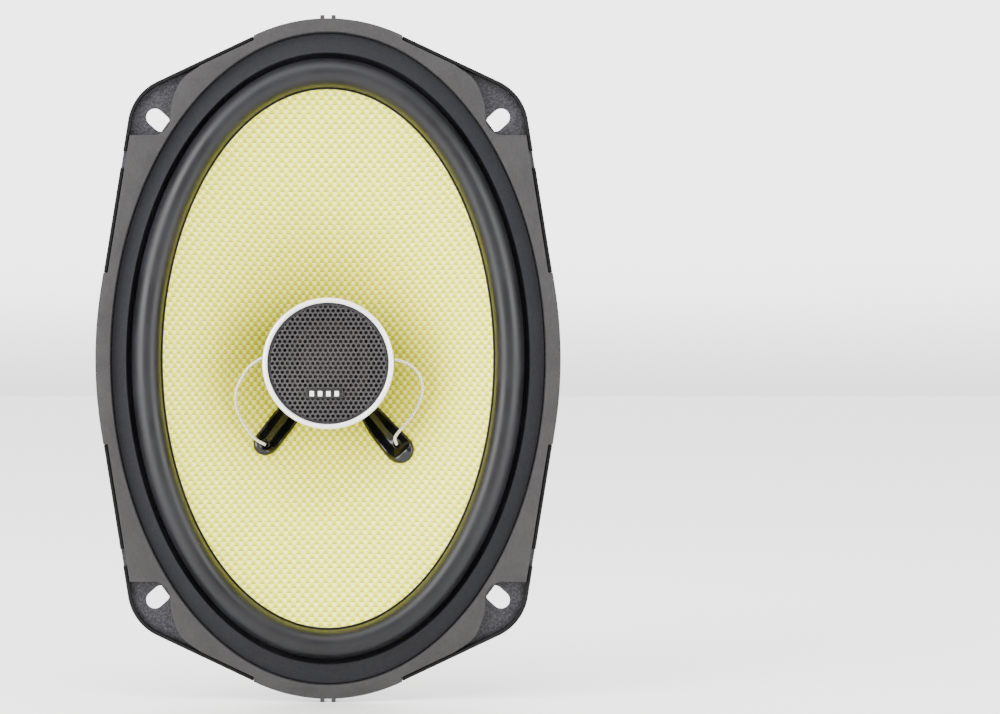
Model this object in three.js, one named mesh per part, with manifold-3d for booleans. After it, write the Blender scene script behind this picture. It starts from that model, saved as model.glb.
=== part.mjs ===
// Two-way coaxial car speaker in the 6x9 inch format.
//
// Every piece is shaped in the speaker's own directions, in millimetres: x to the right, y up
// along the oval's long side, z forwards, with z = 0 on the rear face of the mounting flange.
// The exported group is turned once, so that the long side stands along +Z and the front
// faces -Y, and its origin is the centre of the plane that the speaker bolts to.

import * as THREE from 'three';
import { mergeVertices } from 'three/addons/utils/BufferGeometryUtils.js';
import Module from 'manifold-3d';

const wasm = await Module();
wasm.setup();

// ---------------------------------------------------------------------------
// Driving dimensions
// ---------------------------------------------------------------------------

const GAP = 0.3;
const OVAL_SIDES = 40;
const ROUND_SIDES = 24;

// Flange outline: four shallow arcs joined by four ears, all tangent to straight edges.
const FLANGE = {
  thickness: 1.5,
  endArc: { y: 58.7, radius: 59 },
  sideArc: { x: 76.5, radius: 157 },
  ear: { x: 51.5, y: 79.7, radius: 18 },
  sideTangent: THREE.MathUtils.degToRad(9.1),
  endTangent: THREE.MathUtils.degToRad(64.7),
};
const RIM = { width: 1.2, top: 3.6, endBreak: 26, sideBreak: 30, notch: [66, 72] };
const NUB = { width: 1.5, height: 1.1, spacing: 3.9 };
const SCREW_SLOT = { x: 59.05, y: 82.85, width: 6, length: 9.1, tilt: THREE.MathUtils.degToRad(42) };

const WALL = 1.3;
const BOWL_MOUTH = { x: 71, y: 109 };
const SHELF = { radius: 56, top: -35.3, bottom: -36.6 };
const BASKET_FLOOR = { radius: 48, top: -39.7, bottom: -41, hole: 19 };

const CONE = { neck: 15.4, neckZ: -30, edgeX: 57.3, edgeY: 94.2, edgeZ: 1.8, thickness: 0.9 };
const CONE_STRAIGHTNESS = 0.65;
const ROLL = { outerX: 69.8, outerY: 106.3, height: 6.1, skin: 0.8, base: 2.4 };
const RING = { x: 75.6, y: 111.6, bottom: 1.8, top: 2.5 };
const GASKET = { bottom: 1.8, top: 4.8, holeX: 75.9, holeY: 113.8 };
const GASKET_TAB = 0.5;

const FORMER = { inner: 14.75, outer: 15.05, back: -53, front: -28.5 };
const WINDING = { inner: 15.35, outer: 16, back: -50.5, front: -37.5 };
const SPIDER = { inner: 15.4, outer: 55, z: -34.3, thickness: 0.6, rolls: 3, wave: 1.2 };

const TOP_PLATE = { radius: 42, hole: 16.6, front: -41.3, back: -46.5 };
const MAGNET = { radius: 43, hole: 22, front: -46.8, back: -63.9 };
const YOKE = { pole: 14.3, step: 42.9, rim: 48.3, front: -64.2, ledge: -66.3, back: -69.6, bore: 3.2 };
const BOOT = { inner: 43.3, outer: 46, front: -41.3, back: -66 };
const LABEL = { radius: 44.6, front: -69.9, back: -72 };
const RIVET = { circle: 30, shank: 2, head: 3.4, count: 4 };

const POST = { radius: 6.5, foot: 8, back: -41, front: -13.2 };
const HOUSING = { radius: 22.3, back: -12.9, front: 5, wall: 1.3 };
const BEZEL = { outer: 22.7, inner: 20.9, back: 5.3, front: 8 };
const GRILLE = { radius: 20.6, edge: 5.8, rise: 1.6, thickness: 0.8 };
const BADGE = { width: 12.9, height: 3.3, x: -1.3, y: -10.4 };
const TWEETER_DROP = 1.7;

const LEAD_RADIUS = 0.48;
const TINSEL_RADIUS = 0.6;
const BEAD_HEIGHT = 2.6;
const BLOCK = { width: 30.4, height: 11, depth: 6.5, y: -68.5, front: -36.9 };
const LUG_X = 9;

// ---------------------------------------------------------------------------
// Solids: closed meshes that can be joined and cut
// ---------------------------------------------------------------------------

function toSolid(geometry) {
  const bare = geometry.clone();
  bare.deleteAttribute('normal');
  bare.deleteAttribute('uv');
  const merged = mergeVertices(bare, 1e-4);
  const corners = merged.index.array;
  const triangles = [];
  for (let first = 0; first < corners.length; first += 3) {
    const [a, b, c] = corners.slice(first, first + 3);
    if (a !== b && b !== c && c !== a) {
      triangles.push(a, b, c);
    }
  }
  return new wasm.Manifold(new wasm.Mesh({
    numProp: 3,
    vertProperties: new Float32Array(merged.attributes.position.array),
    triVerts: new Uint32Array(triangles),
  }));
}

function toGeometry(solid) {
  const mesh = solid.getMesh();
  const geometry = new THREE.BufferGeometry();
  geometry.setAttribute('position', new THREE.BufferAttribute(mesh.vertProperties, 3));
  geometry.setIndex(new THREE.BufferAttribute(mesh.triVerts, 1));
  geometry.computeVertexNormals();
  return geometry;
}

function extruded(shape, back, front, curveSegments = 4) {
  const depth = front - back;
  const geometry = new THREE.ExtrudeGeometry(shape, { depth, bevelEnabled: false, curveSegments });
  geometry.translate(0, 0, back);
  return toSolid(geometry);
}

function block(width, height, back, front, x = 0, y = 0) {
  const geometry = new THREE.BoxGeometry(width, height, front - back);
  geometry.translate(x, y, (front + back) / 2);
  return toSolid(geometry);
}

// A turned solid about the z axis. The profile is a list of [radius, z] that starts and ends
// on the axis and runs outwards, forwards and back inwards.
function turned(profile, sides = ROUND_SIDES) {
  const points = profile.map(([radius, z]) => new THREE.Vector2(radius, z));
  const geometry = new THREE.LatheGeometry(points, sides);
  geometry.rotateX(Math.PI / 2);
  return toSolid(geometry);
}

function rod(radius, back, front, x = 0, y = 0, sides = ROUND_SIDES) {
  return turned([[0, back], [radius, back], [radius, front], [0, front]], sides).translate([x, y, 0]);
}

// A closed ring whose section is a loop of [half width, half height, z] ovals, listed
// outwards along its back and inwards along its front.
function ovalRing(section, sides = OVAL_SIDES) {
  const positions = [];
  const triangles = [];
  section.forEach(([halfWidth, halfHeight, z], row) => {
    const nextRow = (row + 1) % section.length;
    for (let side = 0; side < sides; side += 1) {
      const angle = (side / sides) * 2 * Math.PI;
      const nextSide = (side + 1) % sides;
      positions.push(halfWidth * Math.cos(angle), halfHeight * Math.sin(angle), z);
      const here = row * sides + side;
      const beside = row * sides + nextSide;
      const ahead = nextRow * sides + side;
      const across = nextRow * sides + nextSide;
      triangles.push(here, beside, across, here, across, ahead);
    }
  });
  const geometry = new THREE.BufferGeometry();
  geometry.setAttribute('position', new THREE.Float32BufferAttribute(positions, 3));
  geometry.setIndex(triangles);
  return toSolid(geometry);
}

function roundRing(profile, sides = ROUND_SIDES) {
  return ovalRing(profile.map(([radius, z]) => [radius, radius, z]), sides);
}

function tube(inner, outer, back, front, sides = ROUND_SIDES) {
  return roundRing([[inner, back], [outer, back], [outer, front], [inner, front]], sides);
}

function polygon(points) {
  return new THREE.Shape(points.map(([x, y]) => new THREE.Vector2(x, y)));
}

function ovalShape(halfWidth, halfHeight) {
  return polygon(Array.from({ length: OVAL_SIDES }, (_, side) => {
    const angle = (side / OVAL_SIDES) * 2 * Math.PI;
    return [halfWidth * Math.cos(angle), halfHeight * Math.sin(angle)];
  }));
}

// A round cord along a smooth curve through hand-placed points.
function cord(points, radius, steps) {
  const route = new THREE.CatmullRomCurve3(points.map(([x, y, z]) => new THREE.Vector3(x, y, z)));
  const section = new THREE.Shape();
  section.absarc(0, 0, radius, 0, 2 * Math.PI, false);
  const geometry = new THREE.ExtrudeGeometry(section, { steps, extrudePath: route, curveSegments: 4 });
  return toSolid(geometry);
}

function inFourCorners(solid) {
  const upper = solid.add(solid.mirror([1, 0, 0]));
  return upper.add(upper.mirror([0, 1, 0]));
}

// ---------------------------------------------------------------------------
// Forms that several pieces share
// ---------------------------------------------------------------------------

function flangeShape(inset) {
  const { endArc, sideArc, ear, sideTangent, endTangent } = FLANGE;
  const shape = new THREE.Shape();
  const arc = (x, y, radius, from, to) => shape.absarc(x, y, radius - inset, from, to, false);
  arc(-sideArc.x, 0, sideArc.radius, -sideTangent, sideTangent);
  arc(ear.x, ear.y, ear.radius, sideTangent, endTangent);
  arc(0, endArc.y, endArc.radius, endTangent, Math.PI - endTangent);
  arc(-ear.x, ear.y, ear.radius, Math.PI - endTangent, Math.PI - sideTangent);
  arc(sideArc.x, 0, sideArc.radius, Math.PI - sideTangent, Math.PI + sideTangent);
  arc(-ear.x, -ear.y, ear.radius, Math.PI + sideTangent, Math.PI + endTangent);
  arc(0, -endArc.y, endArc.radius, Math.PI + endTangent, 2 * Math.PI - endTangent);
  arc(ear.x, -ear.y, ear.radius, 2 * Math.PI - endTangent, 2 * Math.PI - sideTangent);
  return shape;
}

// The band along the flange's edge that carries the turned-up rim: the ears and the straight
// edges beside them, but not the middles of the four sides.
function rimBand(width, back, front, clearance) {
  const { endBreak, sideBreak } = RIM;
  const reach = 300;
  const outer = extruded(flangeShape(-clearance), back, front);
  const band = outer.subtract(extruded(flangeShape(width), back - 1, front + 1));
  return band
    .subtract(block(2 * (endBreak - clearance), reach, back - 1, front + 1))
    .subtract(block(reach, 2 * (sideBreak - clearance), back - 1, front + 1));
}

// The cone runs from a round neck to an oval edge; t is the share of the way outwards.
function coneRise(t) {
  const curve = CONE_STRAIGHTNESS * t + (1 - CONE_STRAIGHTNESS) * (1 - (1 - t) ** 2);
  return CONE.neckZ + (CONE.edgeZ - CONE.neckZ) * curve;
}

function coneOval(t, drop = 0) {
  const { neck, edgeX, edgeY } = CONE;
  return [THREE.MathUtils.lerp(neck, edgeX, t), THREE.MathUtils.lerp(neck, edgeY, t), coneRise(t) - drop];
}

function coneHeightAt(x, y) {
  let inside = 0;
  let outside = 1;
  for (let step = 0; step < 30; step += 1) {
    const t = (inside + outside) / 2;
    const [halfWidth, halfHeight] = coneOval(t);
    if ((x / halfWidth) ** 2 + (y / halfHeight) ** 2 > 1) {
      inside = t;
    } else {
      outside = t;
    }
  }
  return coneRise(outside);
}

// ---------------------------------------------------------------------------
// Basket
// ---------------------------------------------------------------------------

// A basket window, opening towards +x: a shallow outer arc, straight flanks along the legs
// and an inner arc round the spider shelf, with rounded corners.
function windowShape({ out, across, apex, inner, innerAngle }, round) {
  const sag = apex - out;
  const radius = (across ** 2 + sag ** 2) / (2 * sag);
  const centre = apex - radius;
  const outerAngle = Math.asin(across / radius) - round / radius;
  const trimmed = innerAngle - round / inner;
  const outerCorner = (side) => new THREE.Vector2(out, side * across);
  const onInnerArc = (angle) => new THREE.Vector2(inner * Math.cos(angle), inner * Math.sin(angle));
  const along = (from, to) => from.clone().lerp(to, round / from.distanceTo(to));
  const shape = new THREE.Shape();
  const turnCorner = (corner, end) => shape.quadraticCurveTo(corner.x, corner.y, end.x, end.y);
  const lineTo = (point) => shape.lineTo(point.x, point.y);
  shape.absarc(centre, 0, radius, -outerAngle, outerAngle, false);
  turnCorner(outerCorner(1), along(outerCorner(1), onInnerArc(innerAngle)));
  lineTo(along(onInnerArc(innerAngle), outerCorner(1)));
  turnCorner(onInnerArc(innerAngle), onInnerArc(trimmed));
  shape.absarc(0, 0, inner, trimmed, -trimmed, true);
  turnCorner(onInnerArc(-innerAngle), along(onInnerArc(-innerAngle), outerCorner(-1)));
  lineTo(along(outerCorner(-1), onInnerArc(-innerAngle)));
  turnCorner(outerCorner(-1), new THREE.Vector2(
    centre + radius * Math.cos(outerAngle),
    -radius * Math.sin(outerAngle),
  ));
  return shape;
}

const END_WINDOW = {
  out: 84, across: 36, apex: 99.5, inner: 57, innerAngle: THREE.MathUtils.degToRad(20.5),
};
const SIDE_WINDOW = {
  out: 62, across: 43.6, apex: 68.5, inner: 56.8, innerAngle: THREE.MathUtils.degToRad(28.4),
};
const WINDOW_ROUND = 4;

function basketWindows() {
  const side = extruded(windowShape(SIDE_WINDOW, WINDOW_ROUND), -45, -8, 3);
  const end = extruded(windowShape(END_WINDOW, WINDOW_ROUND), -45, -8, 3).rotate([0, 0, 90]);
  return side.add(side.rotate([0, 0, 180])).add(end).add(end.rotate([0, 0, 180]));
}

function bowl() {
  const { radius, top, bottom, hole } = BASKET_FLOOR;
  const outside = [
    [hole, hole, bottom], [radius, radius, bottom],
    [SHELF.radius - 6, SHELF.radius - 6, SHELF.bottom], [SHELF.radius, SHELF.radius + 0.6, SHELF.bottom],
    [67, 99, -15], [68.5, 102.5, -12.5], [70, 108, -6], [BOWL_MOUTH.x, BOWL_MOUTH.y, FLANGE.thickness],
  ];
  const inside = [
    [BOWL_MOUTH.x - WALL, BOWL_MOUTH.y - WALL, FLANGE.thickness], [68.7, 106.7, -5.8],
    [67.2, 101.4, -11.7], [65.8, 98.2, -13.9],
    [SHELF.radius - 0.8, SHELF.radius - 0.4, SHELF.top], [SHELF.radius - 7, SHELF.radius - 7, SHELF.top],
    [radius - 1, radius - 1, top], [hole, hole, top],
  ];
  return ovalRing([...outside, ...inside]);
}

const TONGUE = { width: 9.5, from: 54.5, to: 69, holeY: 65, holeWidth: 4.7, holeHeight: 3.2 };

function basketTongues() {
  const { width, from, to, holeY, holeWidth, holeHeight } = TONGUE;
  const plate = block(width, to - from, SHELF.bottom, SHELF.top, 0, (from + to) / 2);
  const upper = plate.subtract(block(holeWidth, holeHeight, SHELF.bottom - 1, SHELF.top + 1, 0, holeY));
  return upper.add(upper.rotate([0, 0, 180]));
}

// A U-shaped slot whose two arms point at the speaker's axis.
function clipSlot(x, y) {
  const width = 7.5;
  const arm = 13;
  const slit = 1.6;
  const outline = polygon([
    [slit, -width / 2], [slit, width / 2], [-arm, width / 2], [-arm, width / 2 - slit],
    [0, width / 2 - slit], [0, slit - width / 2], [-arm, slit - width / 2], [-arm, -width / 2],
  ]);
  const bearing = THREE.MathUtils.radToDeg(Math.atan2(y, x));
  return extruded(outline, -45, -10).rotate([0, 0, bearing]).translate([x, y, 0]);
}

function rivetPlaces() {
  return Array.from({ length: RIVET.count }, (_, index) => {
    const angle = ((index + 0.5) / RIVET.count) * 2 * Math.PI;
    return [RIVET.circle * Math.cos(angle), RIVET.circle * Math.sin(angle)];
  });
}

function screwSlots() {
  const { x, y, width, length, tilt } = SCREW_SLOT;
  const half = (length - width) / 2;
  const slot = new THREE.Shape();
  slot.absarc(half, 0, width / 2, -Math.PI / 2, Math.PI / 2, false);
  slot.absarc(-half, 0, width / 2, Math.PI / 2, 1.5 * Math.PI, false);
  const degrees = THREE.MathUtils.radToDeg(tilt);
  return inFourCorners(extruded(slot, -2, 5, 4).rotate([0, 0, degrees]).translate([x, y, 0]));
}

function basket() {
  const plateShape = flangeShape(0);
  plateShape.holes.push(ovalShape(BOWL_MOUTH.x - WALL / 2, BOWL_MOUTH.y - WALL / 2));
  const plate = extruded(plateShape, 0, FLANGE.thickness);
  const [notchFrom, notchTo] = RIM.notch;
  const notch = block(300, notchTo - notchFrom, FLANGE.thickness, 10, 0, (notchFrom + notchTo) / 2);
  const rim = rimBand(RIM.width, FLANGE.thickness / 2, RIM.top, 0)
    .subtract(notch)
    .subtract(notch.mirror([0, 1, 0]));
  let solid = bowl()
    .subtract(basketWindows())
    .subtract(clipSlot(44, -61))
    .subtract(clipSlot(-44, 61))
    .subtract(rod(1, -45, -10, -50, 51.5, 12))
    .add(basketTongues())
    .add(plate)
    .subtract(screwSlots())
    .add(rim);
  for (const [x, y] of rivetPlaces()) {
    solid = solid.subtract(rod(RIVET.shank + GAP, -45, -35, x, y, 12));
  }
  return solid;
}

function basketRivet([x, y]) {
  const { shank, head } = RIVET;
  const underHead = BASKET_FLOOR.top + GAP;
  const back = TOP_PLATE.back + 2.4;
  const profile = [
    [0, back], [shank, back], [shank, underHead], [head, underHead], [head * 0.75, underHead + 0.8],
    [0, underHead + 0.8],
  ];
  return turned(profile, 12).translate([x, y, 0]);
}

// ---------------------------------------------------------------------------
// Gasket, surround, cone and spider
// ---------------------------------------------------------------------------

function frontGasket() {
  const { bottom, top, holeX, holeY } = GASKET;
  const shape = flangeShape(0);
  shape.holes.push(ovalShape(holeX, holeY));
  const earCut = polygon([
    [71.5, 77.3], [110, 77.3], [110, 130], [43.8, 130], [43.8, 101.8], [50.9, 96.8], [54.5, 88], [54.4, 81],
    [58, 77.3],
  ]);
  const earTab = polygon([[58.6, 77], [57.7, 78.85], [54.95, 82.6], [54.2, 85.5], [53.2, 81.5], [56, 77.6]]);
  const nubY = FLANGE.endArc.y + FLANGE.endArc.radius;
  const nub = block(NUB.width, 2 * NUB.height, bottom, top, NUB.spacing / 2, nubY);
  const topNubs = nub.add(nub.translate([-NUB.spacing, 0, 0]));
  return extruded(shape, bottom, top)
    .subtract(rimBand(RIM.width + GAP, bottom - 1, top + 1, GAP))
    .subtract(inFourCorners(extruded(earCut, bottom - 1, top + 1)))
    .add(inFourCorners(extruded(earTab, bottom, bottom + GASKET_TAB)))
    .add(topNubs)
    .add(topNubs.mirror([0, 1, 0]));
}

function surround() {
  const { outerX, outerY, height, skin, base } = ROLL;
  const innerX = CONE.edgeX + GAP;
  const innerY = CONE.edgeY + GAP;
  const steps = 5;
  const rollPoint = (index, inset) => {
    const angle = (index / steps) * Math.PI;
    const spread = Math.cos(angle);
    return [
      (outerX + innerX) / 2 + ((outerX - innerX) / 2 - inset) * spread,
      (outerY + innerY) / 2 + ((outerY - innerY) / 2 - inset) * spread,
      base + (height - inset) * Math.sin(angle),
    ];
  };
  const overRoll = Array.from({ length: steps + 1 }, (_, index) => rollPoint(index, 0));
  const underRoll = Array.from({ length: steps + 1 }, (_, index) => rollPoint(steps - index, skin));
  const lipDrop = CONE.thickness + GAP;
  return ovalRing([
    [RING.x, RING.y, RING.bottom], [RING.x, RING.y, RING.top], [outerX, outerY, RING.top],
    ...overRoll,
    [innerX, innerY, CONE.edgeZ - lipDrop],
    coneOval(0.925, lipDrop), coneOval(0.925, lipDrop + skin),
    [innerX + skin, innerY + skin, CONE.edgeZ - lipDrop - skin / 2],
    ...underRoll,
    [outerX - skin, outerY - skin, RING.bottom],
  ]);
}

function cone() {
  const steps = 6;
  const shares = Array.from({ length: steps + 1 }, (_, index) => index / steps);
  const back = shares.map((t) => coneOval(t, CONE.thickness));
  const front = [...shares].reverse().map((t) => coneOval(t));
  return ovalRing([...back, ...front]);
}

function spider() {
  const { inner, outer, z, thickness, rolls, wave } = SPIDER;
  const flat = 4;
  const crests = 2 * rolls;
  const profile = [[inner, z], [inner + flat, z]];
  for (let crest = 1; crest < crests; crest += 1) {
    const radius = THREE.MathUtils.lerp(inner + flat, outer - flat, crest / crests);
    profile.push([radius, z + (crest % 2 === 0 ? -0.3 : wave)]);
  }
  profile.push([outer - flat, z], [outer, z]);
  const back = profile.map(([radius, height]) => [radius, height - thickness]);
  return roundRing([...back, ...[...profile].reverse()]);
}

// A bead of glue that lies on the cone from under the tweeter outwards, following the cone.
function glueBead([rootX, rootY], [tipX, tipY], width) {
  const length = Math.hypot(tipX - rootX, tipY - rootY);
  const alongX = (tipX - rootX) / length;
  const alongY = (tipY - rootY) / length;
  const profile = [[0, 0], [0.5, 0], [1, 0], [0.95, 0.35], [0.8, 0.62], [0.5, 0.88], [0, 1]];
  const points = profile.map(([radius, height]) => new THREE.Vector2(radius, height));
  const geometry = new THREE.LatheGeometry(points, 20);
  geometry.rotateX(Math.PI / 2);
  const position = geometry.attributes.position;
  const swell = (value, power) => Math.sign(value) * Math.abs(value) ** power;
  for (let index = 0; index < position.count; index += 1) {
    const radius = Math.hypot(position.getX(index), position.getY(index));
    const cosine = radius > 0 ? position.getX(index) / radius : 0;
    const sine = radius > 0 ? position.getY(index) / radius : 0;
    const lengthways = (length / 2) * (1 + radius * swell(cosine, 0.6));
    const across = (width / 2) * radius * swell(sine, 0.85);
    const x = rootX + alongX * lengthways - alongY * across;
    const y = rootY + alongY * lengthways + alongX * across;
    const height = GAP + BEAD_HEIGHT * position.getZ(index);
    position.setXYZ(index, x, y, coneHeightAt(x, y) + height);
  }
  return toSolid(geometry);
}

// ---------------------------------------------------------------------------
// Motor
// ---------------------------------------------------------------------------

function topPlate() {
  const { radius, hole, front, back } = TOP_PLATE;
  let solid = tube(hole, radius, back, front);
  for (const [x, y] of rivetPlaces()) {
    solid = solid.subtract(rod(RIVET.shank + GAP, back + 2, front + 1, x, y, 12));
  }
  return solid;
}

function magnetBoot() {
  const { inner, outer, front, back } = BOOT;
  const ribFront = -53;
  const pitch = 3.2;
  const ribs = 2;
  const groove = 0.8;
  const outside = [[inner, back], [outer, back]];
  for (let rib = ribs - 1; rib >= 0; rib -= 1) {
    const z = ribFront - rib * pitch;
    outside.push([outer, z - pitch / 2], [outer - groove, z - pitch / 2 + 0.3]);
    outside.push([outer - groove, z - 0.3], [outer, z]);
  }
  return roundRing([...outside, [outer, front - 1], [outer - 0.8, front], [inner, front]]);
}

function tYoke() {
  const { pole, step, rim, front, ledge, back, bore } = YOKE;
  const boltHead = 6;
  const counterbore = 3;
  return roundRing([
    [boltHead, back], [rim - 1.8, back], [rim, back + 1.2], [rim, ledge], [step, ledge], [step, front],
    [pole, front], [pole, TOP_PLATE.front], [bore, TOP_PLATE.front], [bore, back + counterbore],
    [boltHead, back + counterbore],
  ], 32);
}

// ---------------------------------------------------------------------------
// Tweeter
// ---------------------------------------------------------------------------

const POT = { outer: 14, inner: 11.3, back: -11.1, floor: -8.9, front: -2 };

function tweeterPost() {
  const { radius, foot, back, front } = POST;
  const boltEnd = -30;
  return turned([
    [0, boltEnd], [YOKE.bore, boltEnd], [YOKE.bore, back], [foot, back], [foot, back + 3],
    [radius, back + 5], [radius, front], [0, front],
  ], 24);
}

function postBolt() {
  const head = 5.5;
  const shank = YOKE.bore - GAP;
  const headBack = YOKE.back + 0.2;
  const headFront = YOKE.back + 2.7;
  return turned([
    [0, headBack], [head, headBack], [head, headFront], [shank, headFront], [shank, -31], [0, -31],
  ], 16);
}

function tweeterHousing() {
  const { radius, back, front, wall } = HOUSING;
  return turned([
    [0, back], [17, back], [20.5, back + 1.9], [radius, back + 6], [radius, front], [radius - wall, front],
    [radius - wall, back + 6.2], [19.6, back + 2.8], [16.5, back + 1.5], [0, back + 1.5],
  ]);
}

function tweeterBezel() {
  const { outer, inner, back, front } = BEZEL;
  return roundRing([
    [inner, back], [outer, back], [outer, front - 1], [outer - 0.5, front - 0.2], [outer - 0.9, front],
    [inner + 0.4, front], [inner, front - 0.5],
  ], 28);
}

// Height of the grille's front above its edge, which is a shallow dome.
function grilleFront(radius) {
  const { edge, rise, thickness } = GRILLE;
  return edge + thickness + rise * (1 - (radius / GRILLE.radius) ** 2);
}

function tweeterGrille() {
  const { radius, thickness } = GRILLE;
  const rings = [0, 0.35, 0.65, 0.85, 1].map((share) => share * radius);
  const back = rings.map((ring) => [ring, grilleFront(ring) - thickness]);
  const front = [...rings].reverse().map((ring) => [ring, grilleFront(ring)]);
  return turned([...back, ...front]);
}

function tweeterBadge() {
  const { width, height, x, y } = BADGE;
  const seat = grilleFront(Math.abs(y) - height / 2) + GAP;
  return block(width, height, seat, seat + 0.5, x, y);
}

function tweeterDome() {
  const skin = 0.4;
  const capRadius = 10.6;
  const capRise = 3.4;
  const cap = [0, 0.45, 0.8, 1].map((share) => [share * capRadius, 0.4 + capRise * (1 - share ** 2)]);
  const roll = [[13, 1.3], [15.6, 0.4]];
  const front = [...cap, ...roll];
  const back = front.map(([radius, z]) => [radius, z - skin]);
  return turned([...back, ...[...front].reverse()], 20);
}

// ---------------------------------------------------------------------------
// Leads and terminals
// ---------------------------------------------------------------------------

const TWEETER_LEAD_LEFT = [
  [-22.9, 0.3, -2], [-25.1, -1.1, -2.2], [-27.2, -2.7, -2.6], [-28.9, -4.7, -3.2], [-30.2, -6.9, -3.8],
  [-31.4, -9.2, -4.5], [-32.2, -11.6, -5.3], [-32.4, -14.1, -6.2], [-32.2, -16.6, -7.2], [-31.6, -19, -8.1],
  [-30.7, -21.3, -9], [-29.5, -23.5, -9.8], [-28, -25.7, -10.5], [-26.4, -27.7, -11.1], [-24.4, -29.3, -11.8],
  [-22.1, -30.5, -12.4],
];
const TWEETER_LEAD_RIGHT = [
  [23.2, -0.4, -2], [25.8, -1, -2.2], [28.2, -2.1, -2.6], [30.2, -3.6, -3.1], [31.8, -5.6, -3.8],
  [32.7, -8, -4.5], [33.1, -10.5, -5.3], [32.8, -13, -6.1], [32, -15.3, -6.9], [31, -17.7, -7.7],
  [29.7, -19.9, -8.4], [28.2, -21.9, -9.1], [26.6, -23.9, -9.6], [24.9, -25.9, -10.1], [23.6, -28.1, -10.6],
  [24.3, -30.5, -11.1],
];
const TINSEL_LEAD = [
  [15.9, -66.5, -39.5], [17.7, -65.2, -37.9], [19, -63.7, -36.1], [20.2, -62.2, -34.3], [21.2, -60.5, -32.4],
  [22, -58.6, -30.7], [22.7, -56.5, -29.1], [23.2, -54.3, -27.7], [23.5, -52, -26.3], [23.8, -49.6, -25.1],
  [24, -47.3, -23.7], [24.1, -45, -22.3], [24.1, -42.8, -20.7], [24.1, -40.6, -19.1], [24.1, -38.5, -17.4],
  [24, -36.5, -15.6],
];

function terminalBlock() {
  const { width, height, depth, y, front } = BLOCK;
  const inner = y + height / 2;
  const back = front - depth;
  const peg = block(4.1, 2.6, front - 0.5, front + 1.2, 0, -TONGUE.holeY);
  const notch = block(5.6, 3.4, back - 1, back + 4.2, LUG_X, inner - 1.2);
  return block(width, height, back, front, 0, y)
    .subtract(notch)
    .subtract(notch.mirror([1, 0, 0]))
    .add(peg);
}

// A flat lug with a solder eye that stands out of the block towards the speaker's axis.
function terminalLug(x) {
  const width = 4.4;
  const tail = BLOCK.y + BLOCK.height / 2 - 2.5;
  const eye = tail + 5;
  const back = BLOCK.front - BLOCK.depth + 2;
  const left = x - width / 2;
  const right = x + width / 2;
  const shape = polygon([[left, tail], [right, tail], [right, eye], [left, eye]]);
  const blade = extruded(shape, back, back + 0.7).add(rod(width / 2, back, back + 0.7, x, eye, 16));
  return blade.subtract(rod(1, back - 1, back + 2, x, eye, 12));
}

// ---------------------------------------------------------------------------
// The speaker
// ---------------------------------------------------------------------------

function finish(color, roughness, metalness = 0) {
  return new THREE.MeshStandardMaterial({ color, roughness, metalness });
}

const FINISH = {
  basketPaint: finish(0x2a292d, 0.75, 0.1),
  gasket: finish(0x66625f, 0.95),
  rubber: finish(0x1b1b1e, 0.6),
  weave: finish(0xe3e29a, 0.55),
  former: finish(0xb9a77a, 0.6),
  copper: finish(0xb06a3b, 0.35, 1),
  cloth: finish(0x8a7a3e, 0.9),
  glue: finish(0x0a0a0b, 0.12),
  steel: finish(0xa9adb6, 0.35, 1),
  ferrite: finish(0x2b2b2d, 0.7),
  label: finish(0xe6d9cb, 0.5),
  blackPlastic: finish(0x1e1d21, 0.45),
  chrome: finish(0xebebee, 0.15, 1),
  mesh: finish(0x3c3c3e, 0.45, 0.6),
  silk: finish(0x3a3630, 0.7),
  braid: finish(0xebe6d7, 0.8),
  tinsel: finish(0x8c8c90, 0.5, 0.7),
  brass: finish(0xc9a24a, 0.3, 1),
  film: finish(0xc98a2b, 0.5),
};

const speaker = new THREE.Group();
speaker.rotation.x = Math.PI / 2;

function add(name, solid, material) {
  const mesh = new THREE.Mesh(toGeometry(solid), material);
  mesh.name = name;
  speaker.add(mesh);
}

// The tweeter sits a little below the speaker's axis.
function addToTweeter(name, solid, material) {
  add(name, solid.translate([0, -TWEETER_DROP, 0]), material);
}

add('basket', basket(), FINISH.basketPaint);
add('front_gasket', frontGasket(), FINISH.gasket);
add('surround', surround(), FINISH.rubber);
add('cone', cone(), FINISH.weave);
add('spider', spider(), FINISH.cloth);
add('voice_coil_former', tube(FORMER.inner, FORMER.outer, FORMER.back, FORMER.front), FINISH.former);
add('voice_coil_winding', tube(WINDING.inner, WINDING.outer, WINDING.back, WINDING.front), FINISH.copper);
add('glue_bead_left', glueBead([-13.9, -19.7], [-23.1, -34.3], 7), FINISH.glue);
add('glue_bead_right', glueBead([14.6, -20.4], [26.1, -37.1], 8), FINISH.glue);

add('top_plate', topPlate(), FINISH.steel);
add('ferrite_magnet', tube(MAGNET.hole, MAGNET.radius, MAGNET.back, MAGNET.front), FINISH.ferrite);
add('magnet_boot', magnetBoot(), FINISH.rubber);
add('t_yoke', tYoke(), FINISH.steel);
add('rear_label_disc', rod(LABEL.radius, LABEL.back, LABEL.front, 0, 0, 36), FINISH.label);
rivetPlaces().forEach((place, index) => {
  add(`basket_rivet_${index + 1}`, basketRivet(place), FINISH.steel);
});

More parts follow.
